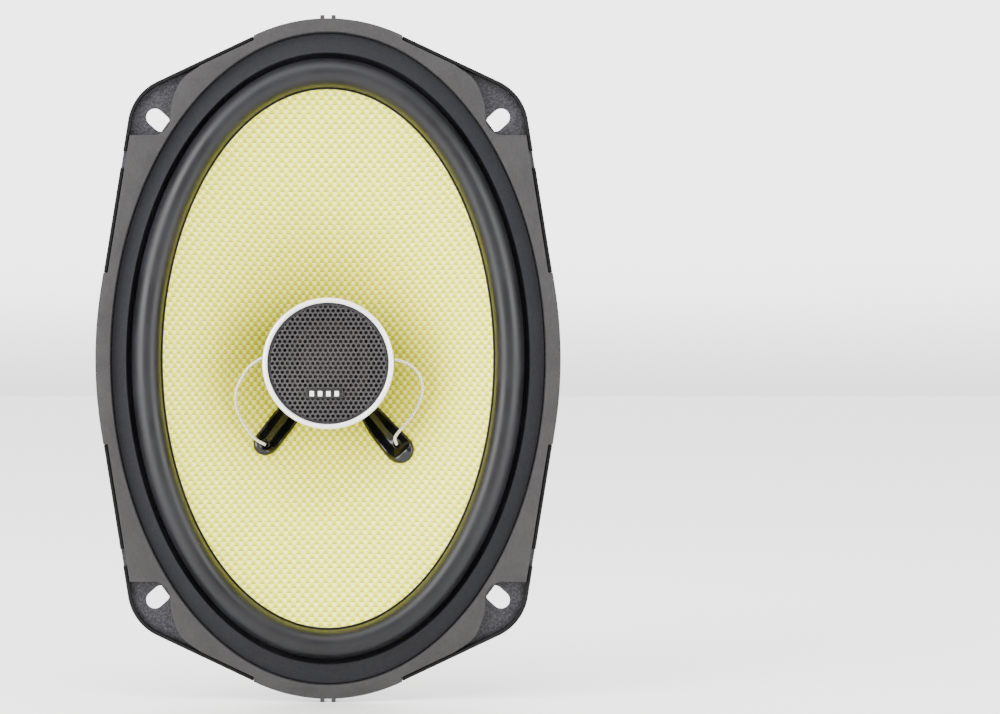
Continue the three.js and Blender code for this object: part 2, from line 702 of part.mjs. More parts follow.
add('post_bolt', postBolt(), FINISH.steel);
add('tweeter_post', tweeterPost(), FINISH.blackPlastic);
addToTweeter('tweeter_housing', tweeterHousing(), FINISH.blackPlastic);
addToTweeter('tweeter_bezel', tweeterBezel(), FINISH.chrome);
addToTweeter('tweeter_grille', tweeterGrille(), FINISH.mesh);
addToTweeter('tweeter_badge', tweeterBadge(), FINISH.mesh);
addToTweeter('tweeter_dome', tweeterDome(), FINISH.silk);
addToTweeter('tweeter_coil', tube(10.4, 10.9, -6, -0.3), FINISH.copper);
addToTweeter('tweeter_pole_cup', turned([
  [0, POT.back], [POT.outer, POT.back], [POT.outer, POT.front], [POT.inner, POT.front],
  [POT.inner, POT.floor], [0, POT.floor],
]), FINISH.steel);
addToTweeter('tweeter_magnet', rod(9.6, POT.floor + GAP, -4.6), FINISH.chrome);
addToTweeter('tweeter_top_plate', rod(10, -4.3, -2.4), FINISH.steel);
const ringOuter = HOUSING.radius - HOUSING.wall - GAP;
addToTweeter('tweeter_ring', tube(POT.outer + GAP, ringOuter, -2.2, -0.8), FINISH.blackPlastic);
addToTweeter('tweeter_capacitor', rod(2.3, -9.3, -3, 0, 17, 16), FINISH.film);

add('tweeter_lead_left', cord(TWEETER_LEAD_LEFT, LEAD_RADIUS, 20), FINISH.braid);
add('tweeter_lead_right', cord(TWEETER_LEAD_RIGHT, LEAD_RADIUS, 20), FINISH.braid);
add('terminal_block', terminalBlock(), FINISH.blackPlastic);
add('terminal_lug_negative', terminalLug(LUG_X), FINISH.brass);
add('terminal_lug_positive', terminalLug(-LUG_X), FINISH.brass);
add('tinsel_lead_negative', cord(TINSEL_LEAD, TINSEL_RADIUS, 20), FINISH.tinsel);
add('tinsel_lead_positive', cord(TINSEL_LEAD, TINSEL_RADIUS, 20).mirror([1, 0, 0]), FINISH.tinsel);

export default speaker;
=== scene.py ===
"""Looks of an oval coaxial car speaker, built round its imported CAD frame.

Shapes are worked out in the speaker's own directions, in millimetres: x to the right, y up along
the oval's long side, z forwards from the flange's rear face. at() turns such a point into the
row frame, in metres, where the long side is +Z and the front faces -Y.
"""

import contextlib
import math

import bmesh
import bpy
import numpy as np
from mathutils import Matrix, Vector


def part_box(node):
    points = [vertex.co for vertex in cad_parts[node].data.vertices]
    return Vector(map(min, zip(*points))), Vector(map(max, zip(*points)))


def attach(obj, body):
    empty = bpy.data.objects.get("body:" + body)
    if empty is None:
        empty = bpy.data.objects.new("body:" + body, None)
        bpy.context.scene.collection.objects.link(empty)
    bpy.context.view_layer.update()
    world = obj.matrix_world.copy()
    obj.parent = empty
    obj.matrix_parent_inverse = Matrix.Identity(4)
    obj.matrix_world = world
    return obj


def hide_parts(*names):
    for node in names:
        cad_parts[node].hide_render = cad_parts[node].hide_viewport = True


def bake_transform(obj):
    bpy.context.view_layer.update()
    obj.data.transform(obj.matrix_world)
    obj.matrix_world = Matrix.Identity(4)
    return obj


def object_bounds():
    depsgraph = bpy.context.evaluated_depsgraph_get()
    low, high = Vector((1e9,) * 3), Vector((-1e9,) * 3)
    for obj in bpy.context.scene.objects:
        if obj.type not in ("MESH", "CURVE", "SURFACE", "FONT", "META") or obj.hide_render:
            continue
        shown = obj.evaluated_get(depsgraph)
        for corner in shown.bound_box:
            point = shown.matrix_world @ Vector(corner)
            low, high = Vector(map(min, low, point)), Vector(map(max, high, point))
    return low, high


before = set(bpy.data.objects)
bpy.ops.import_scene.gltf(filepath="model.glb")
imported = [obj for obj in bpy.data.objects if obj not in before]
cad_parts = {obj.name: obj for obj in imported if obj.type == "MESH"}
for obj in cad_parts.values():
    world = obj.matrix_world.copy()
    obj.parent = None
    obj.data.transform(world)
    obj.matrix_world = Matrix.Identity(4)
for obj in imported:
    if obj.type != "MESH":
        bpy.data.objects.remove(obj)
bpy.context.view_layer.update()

MM = 0.001

# sides of an oval ring and of a round one
FINE = 256
ROUND = 128


def at(x, y, z):
    return Vector((x, -z, y)) * MM


class Extent:
    """Where a node's sides, back and front are, and its half width, in the speaker's own millimetres."""

    def __init__(self, node):
        low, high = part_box(node)
        self.low_x, self.high_x = low[0] / MM, high[0] / MM
        self.low_y, self.high_y = low[2] / MM, high[2] / MM
        self.back, self.front = -high[1] / MM, -low[1] / MM
        self.x = (self.high_x - self.low_x) / 2
        self.middle_x = (self.low_x + self.high_x) / 2
        self.middle_y = (self.low_y + self.high_y) / 2


BASKET = Extent("basket")
GASKET = Extent("front_gasket")
YOKE = Extent("t_yoke")
BOOT = Extent("magnet_boot")
LABEL = Extent("rear_label_disc")
BEZEL = Extent("tweeter_bezel")
GRILLE = Extent("tweeter_grille")
HOUSING = Extent("tweeter_housing")
BADGE = Extent("tweeter_badge")
BLOCK = Extent("terminal_block")


# --- Meshes ---

def new_object(name, vertices, faces, sharp_angle=35):
    mesh = bpy.data.meshes.new(name)
    mesh.from_pydata([tuple(v) for v in vertices], [], faces)
    mesh.validate()
    return adopt(name, mesh, sharp_angle)


def shade(mesh, sharp_angle):
    """Smooth shading, with every edge sharp that bends by more than an angle."""
    mesh.shade_smooth()
    mesh.set_sharp_from_angle(angle=math.radians(sharp_angle))


def linked(name, data):
    """A new object of the scene for a mesh, a curve, a lamp or a camera."""
    made = bpy.data.objects.new(name, data)
    bpy.context.scene.collection.objects.link(made)
    return made


def adopt(name, mesh, sharp_angle=35):
    shade(mesh, sharp_angle)
    return linked(name, mesh)


@contextlib.contextmanager
def editing(mesh, sources=()):
    """The editable form of a mesh, filled from other meshes where they are given. It is written
    back at the end."""
    work = bmesh.new()
    for source in sources or [mesh]:
        work.from_mesh(source)
    yield work
    work.to_mesh(mesh)
    work.free()


def evaluated(piece):
    """A new mesh of a piece as its modifiers or its curve make it."""
    bpy.context.view_layer.update()
    return bpy.data.meshes.new_from_object(piece.evaluated_get(bpy.context.evaluated_depsgraph_get()))


def rounded(points, radius, steps=5, closed=True):
    """The line through the points with each corner rounded off, in any number of dimensions."""
    points = [np.array(p, float) for p in points]
    count = len(points)
    line = []
    for index, corner in enumerate(points):
        if not closed and index in (0, count - 1):
            line.append(corner)
            continue
        before = points[index - 1] - corner
        after = points[(index + 1) % count] - corner
        size = radius[index] if isinstance(radius, (list, tuple)) else radius
        start = corner + before * min(0.5, size / max(np.linalg.norm(before), 1e-9))
        end = corner + after * min(0.5, size / max(np.linalg.norm(after), 1e-9))
        if size <= 0:
            line.append(corner)
            continue
        for step in range(steps + 1):
            t = step / steps
            line.append((1 - t) ** 2 * start + 2 * t * (1 - t) * corner + t * t * end)
    return [tuple(p) for p in line]


def grown(sizes, out, z):
    """A point of a ring's section: an oval made larger all round, at a height."""
    return (sizes[0] + out, sizes[1] + out, z)


def wrapped_quads(rows, sides, closed):
    """The faces between rows of vertices that each run once round. Closed rows meet again."""
    faces = []
    for row in range(rows if closed else rows - 1):
        here = row * sides
        there = (row + 1) % rows * sides
        for side in range(sides):
            beside = (side + 1) % sides
            faces.append((here + side, here + beside, there + beside, there + side))
    return faces


def ring(name, section, sides=FINE, closed=True, sharp_angle=35):
    """A ring whose section is a line of (half width, half height, z) ovals, outwards along its
    back and inwards along its front. An open section makes a plain sheet."""
    angles = [2 * math.pi * side / sides for side in range(sides)]
    vertices = [at(a * math.cos(t), b * math.sin(t), z) for a, b, z in section for t in angles]
    return new_object(name, vertices, wrapped_quads(len(section), sides, closed), sharp_angle)


def round_ring(name, profile, sides=ROUND, closed=True, sharp_angle=35):
    return ring(name, [(r, r, z) for r, z in profile], sides, closed, sharp_angle)


def turned(name, profile, sides=ROUND, sharp_angle=35):
    """A turned solid whose profile of (radius, z) starts and ends on the axis."""
    piece = round_ring(name, profile[1:-1], sides, closed=False, sharp_angle=sharp_angle)
    last = (len(profile) - 3) * sides
    with editing(piece.data) as work:
        back = work.verts.new(at(0, 0, profile[0][1]))
        front = work.verts.new(at(0, 0, profile[-1][1]))
        work.verts.ensure_lookup_table()
        for side in range(sides):
            beside = (side + 1) % sides
            work.faces.new((work.verts[beside], work.verts[side], back))
            work.faces.new((work.verts[last + side], work.verts[last + beside], front))
    shade(piece.data, sharp_angle)
    return piece


def flat_plate(name, loops, back, front, bevel=0.0):
    """A plate with parallel faces whose outlines are closed loops of (x, y): the first is its
    edge and the others are holes. The edges are rounded by the bevel."""
    curve = bpy.data.curves.new(name, "CURVE")
    curve.dimensions = "2D"
    curve.fill_mode = "BOTH"
    curve.extrude = (front - back) / 2 * MM - bevel * MM
    curve.bevel_depth = bevel * MM
    curve.bevel_resolution = 2
    curve.offset = -bevel * MM
    for loop in loops:
        spline = curve.splines.new("POLY")
        spline.points.add(len(loop) - 1)
        for point, (x, y) in zip(spline.points, loop):
            point.co = (x * MM, y * MM, 0, 1)
        spline.use_cyclic_u = True
    maker = linked(name + "_maker", curve)
    mesh = evaluated(maker)
    bpy.data.objects.remove(maker)
    bpy.data.curves.remove(curve)
    mesh.name = name
    middle = (front + back) / 2
    for vertex in mesh.vertices:
        x, y, z = vertex.co
        vertex.co = at(x / MM, y / MM, z / MM + middle)
    mesh.materials.clear()
    weld(mesh)
    return adopt(name, mesh)


def weld(mesh, distance=1e-6):
    with editing(mesh) as work:
        bmesh.ops.remove_doubles(work, verts=work.verts, dist=distance)
        bmesh.ops.recalc_face_normals(work, faces=work.faces)


def join(name, pieces):
    """One object made of several pieces' meshes."""
    mesh = bpy.data.meshes.new(name)
    with editing(mesh, [piece.data for piece in pieces]):
        pass
    for piece in pieces:
        remove(piece)
    return adopt(name, mesh)


def remove(piece):
    mesh = piece.data
    bpy.data.objects.remove(piece)
    bpy.data.meshes.remove(mesh)


def move(piece, x, y, z=0.0):
    for vertex in piece.data.vertices:
        vertex.co += at(x, y, z)


def apply_modifiers(piece):
    mesh = evaluated(piece)
    old = piece.data
    piece.modifiers.clear()
    piece.data = mesh
    bpy.data.meshes.remove(old)


def cut(piece, cutter):
    modifier = piece.modifiers.new("cut", "BOOLEAN")
    modifier.operation = "DIFFERENCE"
    modifier.solver = "EXACT"
    modifier.object = cutter
    apply_modifiers(piece)
    remove(cutter)


def box(name, low, high, bevel=0.3, steps=3):
    """A block with rounded edges between two corners, in the speaker's own millimetres."""
    mesh = bpy.data.meshes.new(name)
    with editing(mesh) as work:
        bmesh.ops.create_cube(work, size=1)
        for vertex in work.verts:
            vertex.co = at(*(low[axis] if vertex.co[axis] < 0 else high[axis] for axis in range(3)))
        if bevel:
            edges = list(work.edges)
            bmesh.ops.bevel(
                work, geom=edges, offset=bevel * MM, segments=steps, profile=0.5, affect="EDGES")
        bmesh.ops.recalc_face_normals(work, faces=work.faces)
    return adopt(name, mesh)


def between_knots(a, b, first, second, t):
    return a * ((second - t) / (second - first)) + b * ((t - first) / (second - first))


def smooth_line(points, count):
    """Evenly spaced points along a centripetal Catmull-Rom curve through the given points."""
    points = [Vector(p) for p in points]
    ends = [2 * points[0] - points[1]] + points + [2 * points[-1] - points[-2]]
    dense = []
    for p0, p1, p2, p3 in zip(ends, ends[1:], ends[2:], ends[3:]):
        knots = [0.0]
        for a, b in ((p0, p1), (p1, p2), (p2, p3)):
            knots.append(knots[-1] + max((b - a).length, 1e-9) ** 0.5)
        for step in range(16):
            t = knots[1] + (knots[2] - knots[1]) * step / 16
            a1 = between_knots(p0, p1, knots[0], knots[1], t)
            a2 = between_knots(p1, p2, knots[1], knots[2], t)
            a3 = between_knots(p2, p3, knots[2], knots[3], t)
            b1 = between_knots(a1, a2, knots[0], knots[2], t)
            b2 = between_knots(a2, a3, knots[1], knots[3], t)
            dense.append(between_knots(b1, b2, knots[1], knots[2], t))
    dense.append(points[-1])
    lengths = [0.0]
    for a, b in zip(dense, dense[1:]):
        lengths.append(lengths[-1] + (b - a).length)
    line = []
    for index in range(count):
        target = lengths[-1] * index / (count - 1)
        step = min(int(np.searchsorted(lengths, target, side="right")) - 1, len(dense) - 2)
        share = (target - lengths[step]) / max(lengths[step + 1] - lengths[step], 1e-12)
        line.append(dense[step].lerp(dense[step + 1], share))
    return line, lengths[-1]


# --- Materials ---

def srgb(red, green, blue):
    """A colour from 0-255 display values, as the linear values that a shader takes."""
    def linear(value):
        value /= 255
        return value / 12.92 if value <= 0.04045 else ((value + 0.055) / 1.055) ** 2.4

    return (linear(red), linear(green), linear(blue), 1)


def dimmed(color, share):
    return tuple(share * value for value in color[:3]) + (1,)


class Nodes:
    """A tree of shader nodes and the few kinds of node that textures are made of."""

    def __init__(self, tree, place):
        self.tree = tree
        self.place = self.node("ShaderNodeTexCoord").outputs[place]

    def node(self, kind, **settings):
        made = self.tree.nodes.new(kind)
        for name, value in settings.items():
            setattr(made, name, value)
        return made

    def feed(self, socket, value):
        if isinstance(value, bpy.types.NodeSocket):
            self.tree.links.new(value, socket)
        else:
            socket.default_value = value

    def math(self, operation, first, second=0.0, third=0.0):
        made = self.node("ShaderNodeMath", operation=operation)
        for socket, value in zip(made.inputs, (first, second, third)):
            self.feed(socket, value)
        return made.outputs[0]

    def add(self, first, second):
        return self.math("ADD", first, second)

    def times(self, first, second):
        return self.math("MULTIPLY", first, second)

    def power(self, first, second):
        return self.math("POWER", first, second)

    def axes(self, vector=None):
        made = self.node("ShaderNodeSeparateXYZ")
        self.feed(made.inputs[0], vector or self.place)
        return made.outputs

    def vector(self, x, y, z):
        made = self.node("ShaderNodeCombineXYZ")
        for socket, value in zip(made.inputs, (x, y, z)):
            self.feed(socket, value)
        return made.outputs[0]

    def stretched(self, x, y, z):
        made = self.node("ShaderNodeVectorMath", operation="MULTIPLY")
        self.feed(made.inputs[0], self.place)
        made.inputs[1].default_value = (x, y, z)
        return made.outputs[0]

    def noise(self, scale, detail=3.0, roughness=0.5, vector=None):
        made = self.node("ShaderNodeTexNoise")
        self.feed(made.inputs["Vector"], vector or self.place)
        made.inputs["Scale"].default_value = scale
        made.inputs["Detail"].default_value = detail
        made.inputs["Roughness"].default_value = roughness
        return made.outputs["Fac"]

    def spread(self, value, low, high, to_low=0.0, to_high=1.0):
        made = self.node("ShaderNodeMapRange", interpolation_type="SMOOTHSTEP")
        for socket, number in zip(made.inputs[:5], (value, low, high, to_low, to_high)):
            self.feed(socket, number)
        return made.outputs[0]

    def mix(self, share, first, second):
        made = self.node("ShaderNodeMix", data_type="RGBA")
        self.feed(made.inputs["Factor"], share)
        self.feed(made.inputs[6], first)
        self.feed(made.inputs[7], second)
        return made.outputs[2]

    def weighed(self, first, share, second):
        """A share of one value and the rest of another."""
        return self.add(self.times(first, share), self.times(second, 1 - share))

    def distance(self, x, z):
        """How far a place lies from the speaker's axis."""
        return self.power(self.add(self.power(x, 2.0), self.power(z, 2.0)), 0.5)


class Finish(Nodes):
    """A material of one piece or several."""

    def __init__(self, name, color, roughness, metallic=0.0, shine=0.5):
        self.material = bpy.data.materials.new(name)
        self.material.use_nodes = True
        super().__init__(self.material.node_tree, "Object")
        self.shader = self.tree.nodes["Principled BSDF"]
        self.shader.inputs["Base Color"].default_value = color
        self.shader.inputs["Roughness"].default_value = roughness
        self.shader.inputs["Metallic"].default_value = metallic
        self.shader.inputs["Specular IOR Level"].default_value = shine

    def color(self, value):
        self.feed(self.shader.inputs["Base Color"], value)

    def tint(self, value, low, high, first, second):
        """The base colour goes from the first to the second as a value goes from low to high."""
        self.color(self.mix(self.spread(value, low, high), first, second))

    def rough(self, value, low, high, to_low, to_high):
        """The roughness goes from to_low to to_high as a value goes from low to high."""
        self.feed(self.shader.inputs["Roughness"], self.spread(value, low, high, to_low, to_high))

    def bump(self, height, strength, depth_mm):
        made = self.node("ShaderNodeBump")
        made.inputs["Strength"].default_value = strength
        made.inputs["Distance"].default_value = depth_mm * MM
        self.feed(made.inputs["Height"], height)
        self.tree.links.new(made.outputs[0], self.shader.inputs["Normal"])


def grained(name, dark, light, grain_mm, roughness, depth_mm, strength=0.4, shine=0.3):
    """A moulded or painted surface: a fine grain in colour, height and gloss, over slow
    variations in tone."""
    made = Finish(name, dark, roughness, shine=shine)
    fine = made.noise(1 / (grain_mm * MM), 4, 0.65)
    slow = made.noise(45, 2)
    tone = made.weighed(fine, 0.75, slow)
    made.tint(tone, 0.38, 0.66, dark, light)
    made.rough(fine, 0.3, 0.7, roughness + 0.06, roughness - 0.06)
    made.bump(fine, strength, depth_mm)
    return made.material


def basket_paint():
    """Sandy textured black paint."""
    made = Finish("basket_textured_paint", srgb(38, 37, 40), 0.5, shine=0.3)
    grain = made.noise(1500, 2, 0.5)
    lumps = made.noise(3200, 2, 0.5)
    slow = made.noise(26, 2)
    height = made.weighed(grain, 0.7, lumps)
    light = made.mix(made.spread(slow, 0.35, 0.65), srgb(55, 54, 59), srgb(49, 48, 52))
    made.tint(height, 0.42, 0.62, srgb(26, 25, 28), light)
    made.rough(height, 0.35, 0.65, 0.6, 0.5)
    made.bump(height, 0.6, 0.13)
    return made.material


def gasket_board():
    made = Finish("gasket_grey_board", srgb(50, 48, 46), 0.7, shine=0.22)
    fibres = made.noise(1, 4, 0.6, made.stretched(1800, 900, 900))
    cloud = made.noise(120, 3, 0.6)
    tone = made.weighed(fibres, 0.5, cloud)
    made.tint(tone, 0.35, 0.65, srgb(44, 43, 43), srgb(51, 50, 50))
    made.bump(fibres, 0.35, 0.08)
    return made.material


def surround_rubber():
    made = Finish("surround_rubber", srgb(20, 20, 22), 0.4, shine=0.27)
    fine = made.noise(2400, 3, 0.6)
    smears = made.noise(60, 3, 0.55)
    made.tint(smears, 0.3, 0.7, srgb(18, 18, 20), srgb(25, 25, 28))
    made.rough(smears, 0.3, 0.7, 0.36, 0.48)
    made.bump(fine, 0.25, 0.03)
    return made.material


# painted light: the roll's rubber painted a little lighter, for the flat outer ring
def flat_rubber_painted_lighter():
    return grained("surround_flat_rubber", srgb(25, 25, 28), srgb(31, 31, 34), 0.4, 0.6, 0.03, 0.3, 0.15)


WEAVE_X = 1.58 * MM
WEAVE_Z = 1.63 * MM


def cone_weave():
    """Plain weave: yellow weft over pale warp in every second cell, set in clear resin. Near the
    neck the cloth is deeper yellow and darker, partly its own tint and partly painted shade."""
    made = Finish("cone_woven_fibre", srgb(240, 238, 150), 0.42, shine=0.14)
    x, _, z = made.axes()

    # the threads wander a little, and lie closer together across the cone's middle
    level = made.power(made.math("DIVIDE", z, 0.045), 2.0)
    drape = made.math("MULTIPLY_ADD", made.math("EXPONENT", made.times(level, -1.0)), 0.2, 1.0)
    wander = made.times(made.math("SUBTRACT", made.noise(18, 1), 0.5), 0.9)
    along = made.add(made.math("DIVIDE", made.times(x, drape), WEAVE_X), wander)
    up = made.add(made.math("DIVIDE", z, WEAVE_Z), wander)

    # which thread is on top of a cell, and how far a place lies from the cell's middle
    parity = made.math("PINGPONG", made.add(made.math("FLOOR", along), made.math("FLOOR", up)), 1.0)
    from_side = made.math("ABSOLUTE", made.math("MULTIPLY_ADD", made.math("FRACT", along), 2.0, -1.0))
    above = made.math("MULTIPLY_ADD", made.math("FRACT", up), 2.0, -1.0)
    from_middle = made.math("ABSOLUTE", above)
    side_fall = made.power(from_side, 2.0)
    middle_fall = made.power(from_middle, 2.0)

    def hump(crown, length):
        return made.times(made.math("SUBTRACT", 1.0, crown), made.math("MULTIPLY_ADD", length, -0.55, 1.0))

    weft = made.times(hump(middle_fall, side_fall), parity)
    warp = made.times(hump(side_fall, middle_fall), made.math("SUBTRACT", 1.0, parity))
    height = made.add(weft, warp)

    # pale cloth with a painted highlight on each thread's crown, and a yellow spot in every second cell
    blot = made.add(made.power(from_side, 3.5), made.power(from_middle, 2.6))
    spot = made.times(made.spread(blot, 0.5, 1.2, 1.0, 0.0), parity)
    # painted shade and a deeper tint near the neck: the cloth turns darker and yellower there
    neck_shade_and_yellow = made.spread(made.distance(x, z), 0.018, 0.062, 1.0, 0.0)
    pale = made.mix(neck_shade_and_yellow, srgb(249, 250, 108), srgb(245, 243, 76))
    # painted highlight: a pale thread is whiter where it stands highest
    pale = made.mix(made.spread(height, 0.45, 0.95, 0.0, 0.8), pale, srgb(253, 254, 150))
    # painted shade: each yellow spot is darker towards its lower edge and lighter towards its top, as lit
    # from above
    yellow = made.mix(made.spread(above, -0.9, 0.7), srgb(197, 189, 0), srgb(226, 221, 2))
    deep = made.mix(neck_shade_and_yellow, yellow, srgb(199, 190, 0))
    cloth = made.mix(spot, pale, deep)

    # a shadow where a thread dips under the next, and slow clouds in the resin
    dip = made.spread(from_side, 0.3, 0.95, 0.5, 1.0)
    under = made.times(made.spread(above, -1.0, -0.5, 1.0, 0.0), dip)
    shadow = made.times(under, made.math("MULTIPLY_ADD", parity, 0.6, 0.35))
    cloth = made.mix(shadow, cloth, srgb(74, 66, 14))
    cloud = made.spread(made.noise(70, 3, 0.6), 0.3, 0.75, 0.0, 0.12)
    made.color(made.mix(cloud, cloth, srgb(233, 231, 54)))
    made.rough(height, 0.0, 1.0, 0.52, 0.36)
    made.bump(height, 0.7, 0.2)
    return made.material


def turned_steel(name, color, roughness):
    """Plated steel with faint turning marks round the speaker's axis."""
    made = Finish(name, color, roughness, 1.0)
    x, _, z = made.axes()
    radius = made.distance(x, z)
    marks = made.noise(1, 3, 0.6, made.vector(made.times(radius, 5200), 0.0, 0.0))
    stains = made.noise(90, 4, 0.6)
    made.tint(stains, 0.35, 0.7, color, dimmed(color, 0.8))
    made.rough(marks, 0.3, 0.7, roughness - 0.05, roughness + 0.09)
    made.bump(marks, 0.16, 0.02)
    return made.material


def brushed_label():
    made = Finish("label_champagne_foil", srgb(214, 192, 172), 0.36, 0.35)
    lines = made.noise(1, 4, 0.7, made.stretched(5200, 60, 60))
    cloud = made.noise(25, 2)
    tone = made.weighed(lines, 0.6, cloud)
    made.tint(tone, 0.3, 0.7, srgb(204, 180, 158), srgb(222, 201, 182))
    made.rough(lines, 0.3, 0.7, 0.3, 0.44)
    made.bump(lines, 0.12, 0.01)
    return made.material


def braid(name, pale, dark, metallic=0.0, roughness=0.6):
    """Plaited strands with painted shade in the grooves between them, from the piece's own map:
    u goes round the lead and v along it.
    """
    made = Finish(name, pale, roughness, metallic)
    uv = made.node("ShaderNodeTexCoord").outputs["UV"]
    around, along, _ = made.axes(uv)
    first = made.math("SINE", made.times(made.add(around, along), 2 * math.pi))
    second = made.math("SINE", made.times(made.math("SUBTRACT", around, along), 2 * math.pi))
    crossing = made.math("MAXIMUM", first, second)
    fuzz = made.noise(2500, 3, 0.6)
    strand = made.mix(made.spread(fuzz, 0.4, 0.7), pale, dimmed(pale, 0.9))
    # painted shade: the colour falls to the dark tone in the grooves between the strands
    made.tint(crossing, -0.5, 0.8, dark, strand)
    made.bump(made.add(crossing, fuzz), 0.4, 0.06)
    return made.material


def spider_cloth():
    made = Finish("spider_resin_cloth", srgb(120, 100, 44), 0.7)
    x, _, z = made.axes()
    threads = made.math(
        "MAXIMUM", made.math("SINE", made.times(x, 9000)), made.math("SINE", made.times(z, 9000)))
    # painted shade: darker in the gaps between the threads, lighter on the threads
    made.tint(threads, -0.2, 1.0, srgb(84, 68, 28), srgb(140, 118, 56))
    made.bump(threads, 0.5, 0.08)
    return made.material


def glossy_glue():
    made = Finish("black_glue", srgb(8, 8, 9), 0.1, shine=0.4)
    waves = made.noise(190, 2, 0.5)
    made.rough(waves, 0.35, 0.7, 0.07, 0.18)
    made.bump(waves, 0.5, 0.35)
    return made.material


def bright_chrome():
    made = Finish("bezel_satin_chrome", srgb(243, 243, 244), 0.3, 0.35)
    marks = made.noise(900, 3, 0.6)
    made.rough(marks, 0.3, 0.7, 0.26, 0.36)
    made.bump(marks, 0.08, 0.01)
    return made.material


def polished(name, color, roughness, metallic=1.0):
    made = Finish(name, color, roughness, metallic)
    smears = made.noise(400, 3, 0.6)
    made.tint(smears, 0.4, 0.75, color, dimmed(color, 0.75))
    made.rough(smears, 0.3, 0.7, roughness, roughness + 0.12)
    made.bump(smears, 0.1, 0.02)
    return made.material


def dress(piece, material):
    """Gives a new piece its material."""
    piece.data.materials.clear()
    piece.data.materials.append(material)
    return piece


def settle(piece, material, body, node=None):
    """Dresses a new piece, says which body it rides on and, where there is one, hides the CAD node
    that it replaces."""
    dress(piece, material)
    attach(piece, body)
    if node:
        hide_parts(node)


def repaint(node, material):
    """Gives a carried-over CAD node a better material."""
    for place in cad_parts[node].material_slots:
        place.material = material


PAINT = basket_paint()
RIM_PAINT = grained("rim_black_paint", srgb(9, 9, 9), srgb(18, 17, 17), 0.5, 0.5, 0.03, 0.3, 0.15)
BOARD = gasket_board()
RUBBER = surround_rubber()
FLAT_RUBBER_PAINTED_LIGHTER = flat_rubber_painted_lighter()
BOOT_RUBBER = grained("boot_rubber", srgb(26, 26, 28), srgb(38, 37, 40), 0.5, 0.55, 0.03, 0.3, 0.25)
WEAVE = cone_weave()
SPIDER_CLOTH = spider_cloth()
STEEL = turned_steel("yoke_zinc_steel", srgb(122, 126, 134), 0.42)
DARK_STEEL = turned_steel("top_plate_steel", srgb(96, 98, 104), 0.4)
FOIL = brushed_label()
PRINT = grained("label_print", srgb(44, 41, 41), srgb(54, 50, 50), 0.3, 0.5, 0.01, 0.1)
WHITE_PRINT = grained("white_print", srgb(225, 225, 225), srgb(240, 240, 240), 0.2, 0.5, 0.01, 0.1)
BLACK_PLASTIC = grained("black_plastic", srgb(20, 20, 22), srgb(30, 29, 31), 0.25, 0.38, 0.02, 0.2)
BLOCK_PLASTIC = grained("terminal_plastic", srgb(28, 27, 31), srgb(40, 38, 43), 0.3, 0.4, 0.02, 0.25)
GLUE = glossy_glue()
CHROME = bright_chrome()
MESH_PAINT = grained("grille_paint", srgb(43, 41, 42), srgb(63, 60, 61), 0.35, 0.42, 0.02, 0.2)
BADGE_PLASTIC = grained("badge_dark", srgb(22, 20, 20), srgb(30, 28, 27), 0.3, 0.35, 0.01, 0.15)
BRAID = braid("lead_cream_braid", srgb(238, 232, 214), srgb(152, 142, 112))
TINSEL = braid("tinsel_grey_braid", srgb(150, 148, 146), srgb(62, 60, 58), 0.6, 0.45)
BRASS = polished("terminal_brass", srgb(204, 172, 98), 0.22)
COPPER = polished("coil_copper", srgb(196, 120, 74), 0.35)
FERRITE = grained("ferrite", srgb(24, 24, 26), srgb(36, 36, 38), 0.6, 0.6, 0.04)
NICKEL = polished("nickel_plating", srgb(206, 204, 198), 0.18)
SILK = grained("dome_silk", srgb(38, 35, 32), srgb(52, 48, 44), 0.3, 0.55, 0.03)
FILM = polished("capacitor_film", srgb(206, 142, 52), 0.3, 0.0)
FORMER = polished("former_film", srgb(188, 150, 84), 0.35, 0.0)


# --- Outlines in the speaker's face, in millimetres ---

END_ARC = {"y": 58.7, "radius": 59}
SIDE_ARC = {"x": 76.5, "radius": 157}
EAR = {"x": 51.5, "y": 79.7, "radius": 18}
SIDE_TANGENT = math.radians(9.1)
END_TANGENT = math.radians(64.7)
RIM_WIDTH = 1.2
RIM_END_BREAK = 26
RIM_SIDE_BREAK = 30
RIM_NOTCH = (66, 72)
PLATE_TOP = 1.5


def arc(x, y, radius, start, end, steps=16):
    return [
        (x + radius * math.cos(t), y + radius * math.sin(t)) for t in np.linspace(start, end, steps + 1)
    ]


def circle(x, y, radius, steps=32):
    return arc(x, y, radius, 0, 2 * math.pi, steps)[:-1]


def oval(half_width, half_height, steps=FINE):
    angles = np.linspace(0, 2 * math.pi, steps + 1)[:-1]
    return [(half_width * math.cos(t), half_height * math.sin(t)) for t in angles]


def flange_quarter(inset=0.0):
    """The flange's edge from the middle of its right side to the middle of its top."""
    return (
        arc(-SIDE_ARC["x"], 0, SIDE_ARC["radius"] - inset, 0, SIDE_TANGENT, 8)
        + arc(EAR["x"], EAR["y"], EAR["radius"] - inset, SIDE_TANGENT, END_TANGENT, 20)
        + arc(0, END_ARC["y"], END_ARC["radius"] - inset, END_TANGENT, math.pi / 2, 16)
    )


def all_quarters(quarter):
    """A closed outline from its upper right quarter."""
    half = quarter + [(-x, y) for x, y in reversed(quarter[:-1])]
    return half[:-1] + [(x, -y) for x, y in reversed(half[1:])]


def mirrored(loop, across_x, across_y):
    placed = [(x * across_x, y * across_y) for x, y in loop]
    return placed if across_x * across_y > 0 else placed[::-1]


def four_corners(loop):
    return [mirrored(loop, x, y) for x in (1, -1) for y in (1, -1)]


def rectangle(low_x, low_y, high_x, high_y):
    return [(low_x, low_y), (high_x, low_y), (high_x, high_y), (low_x, high_y)]


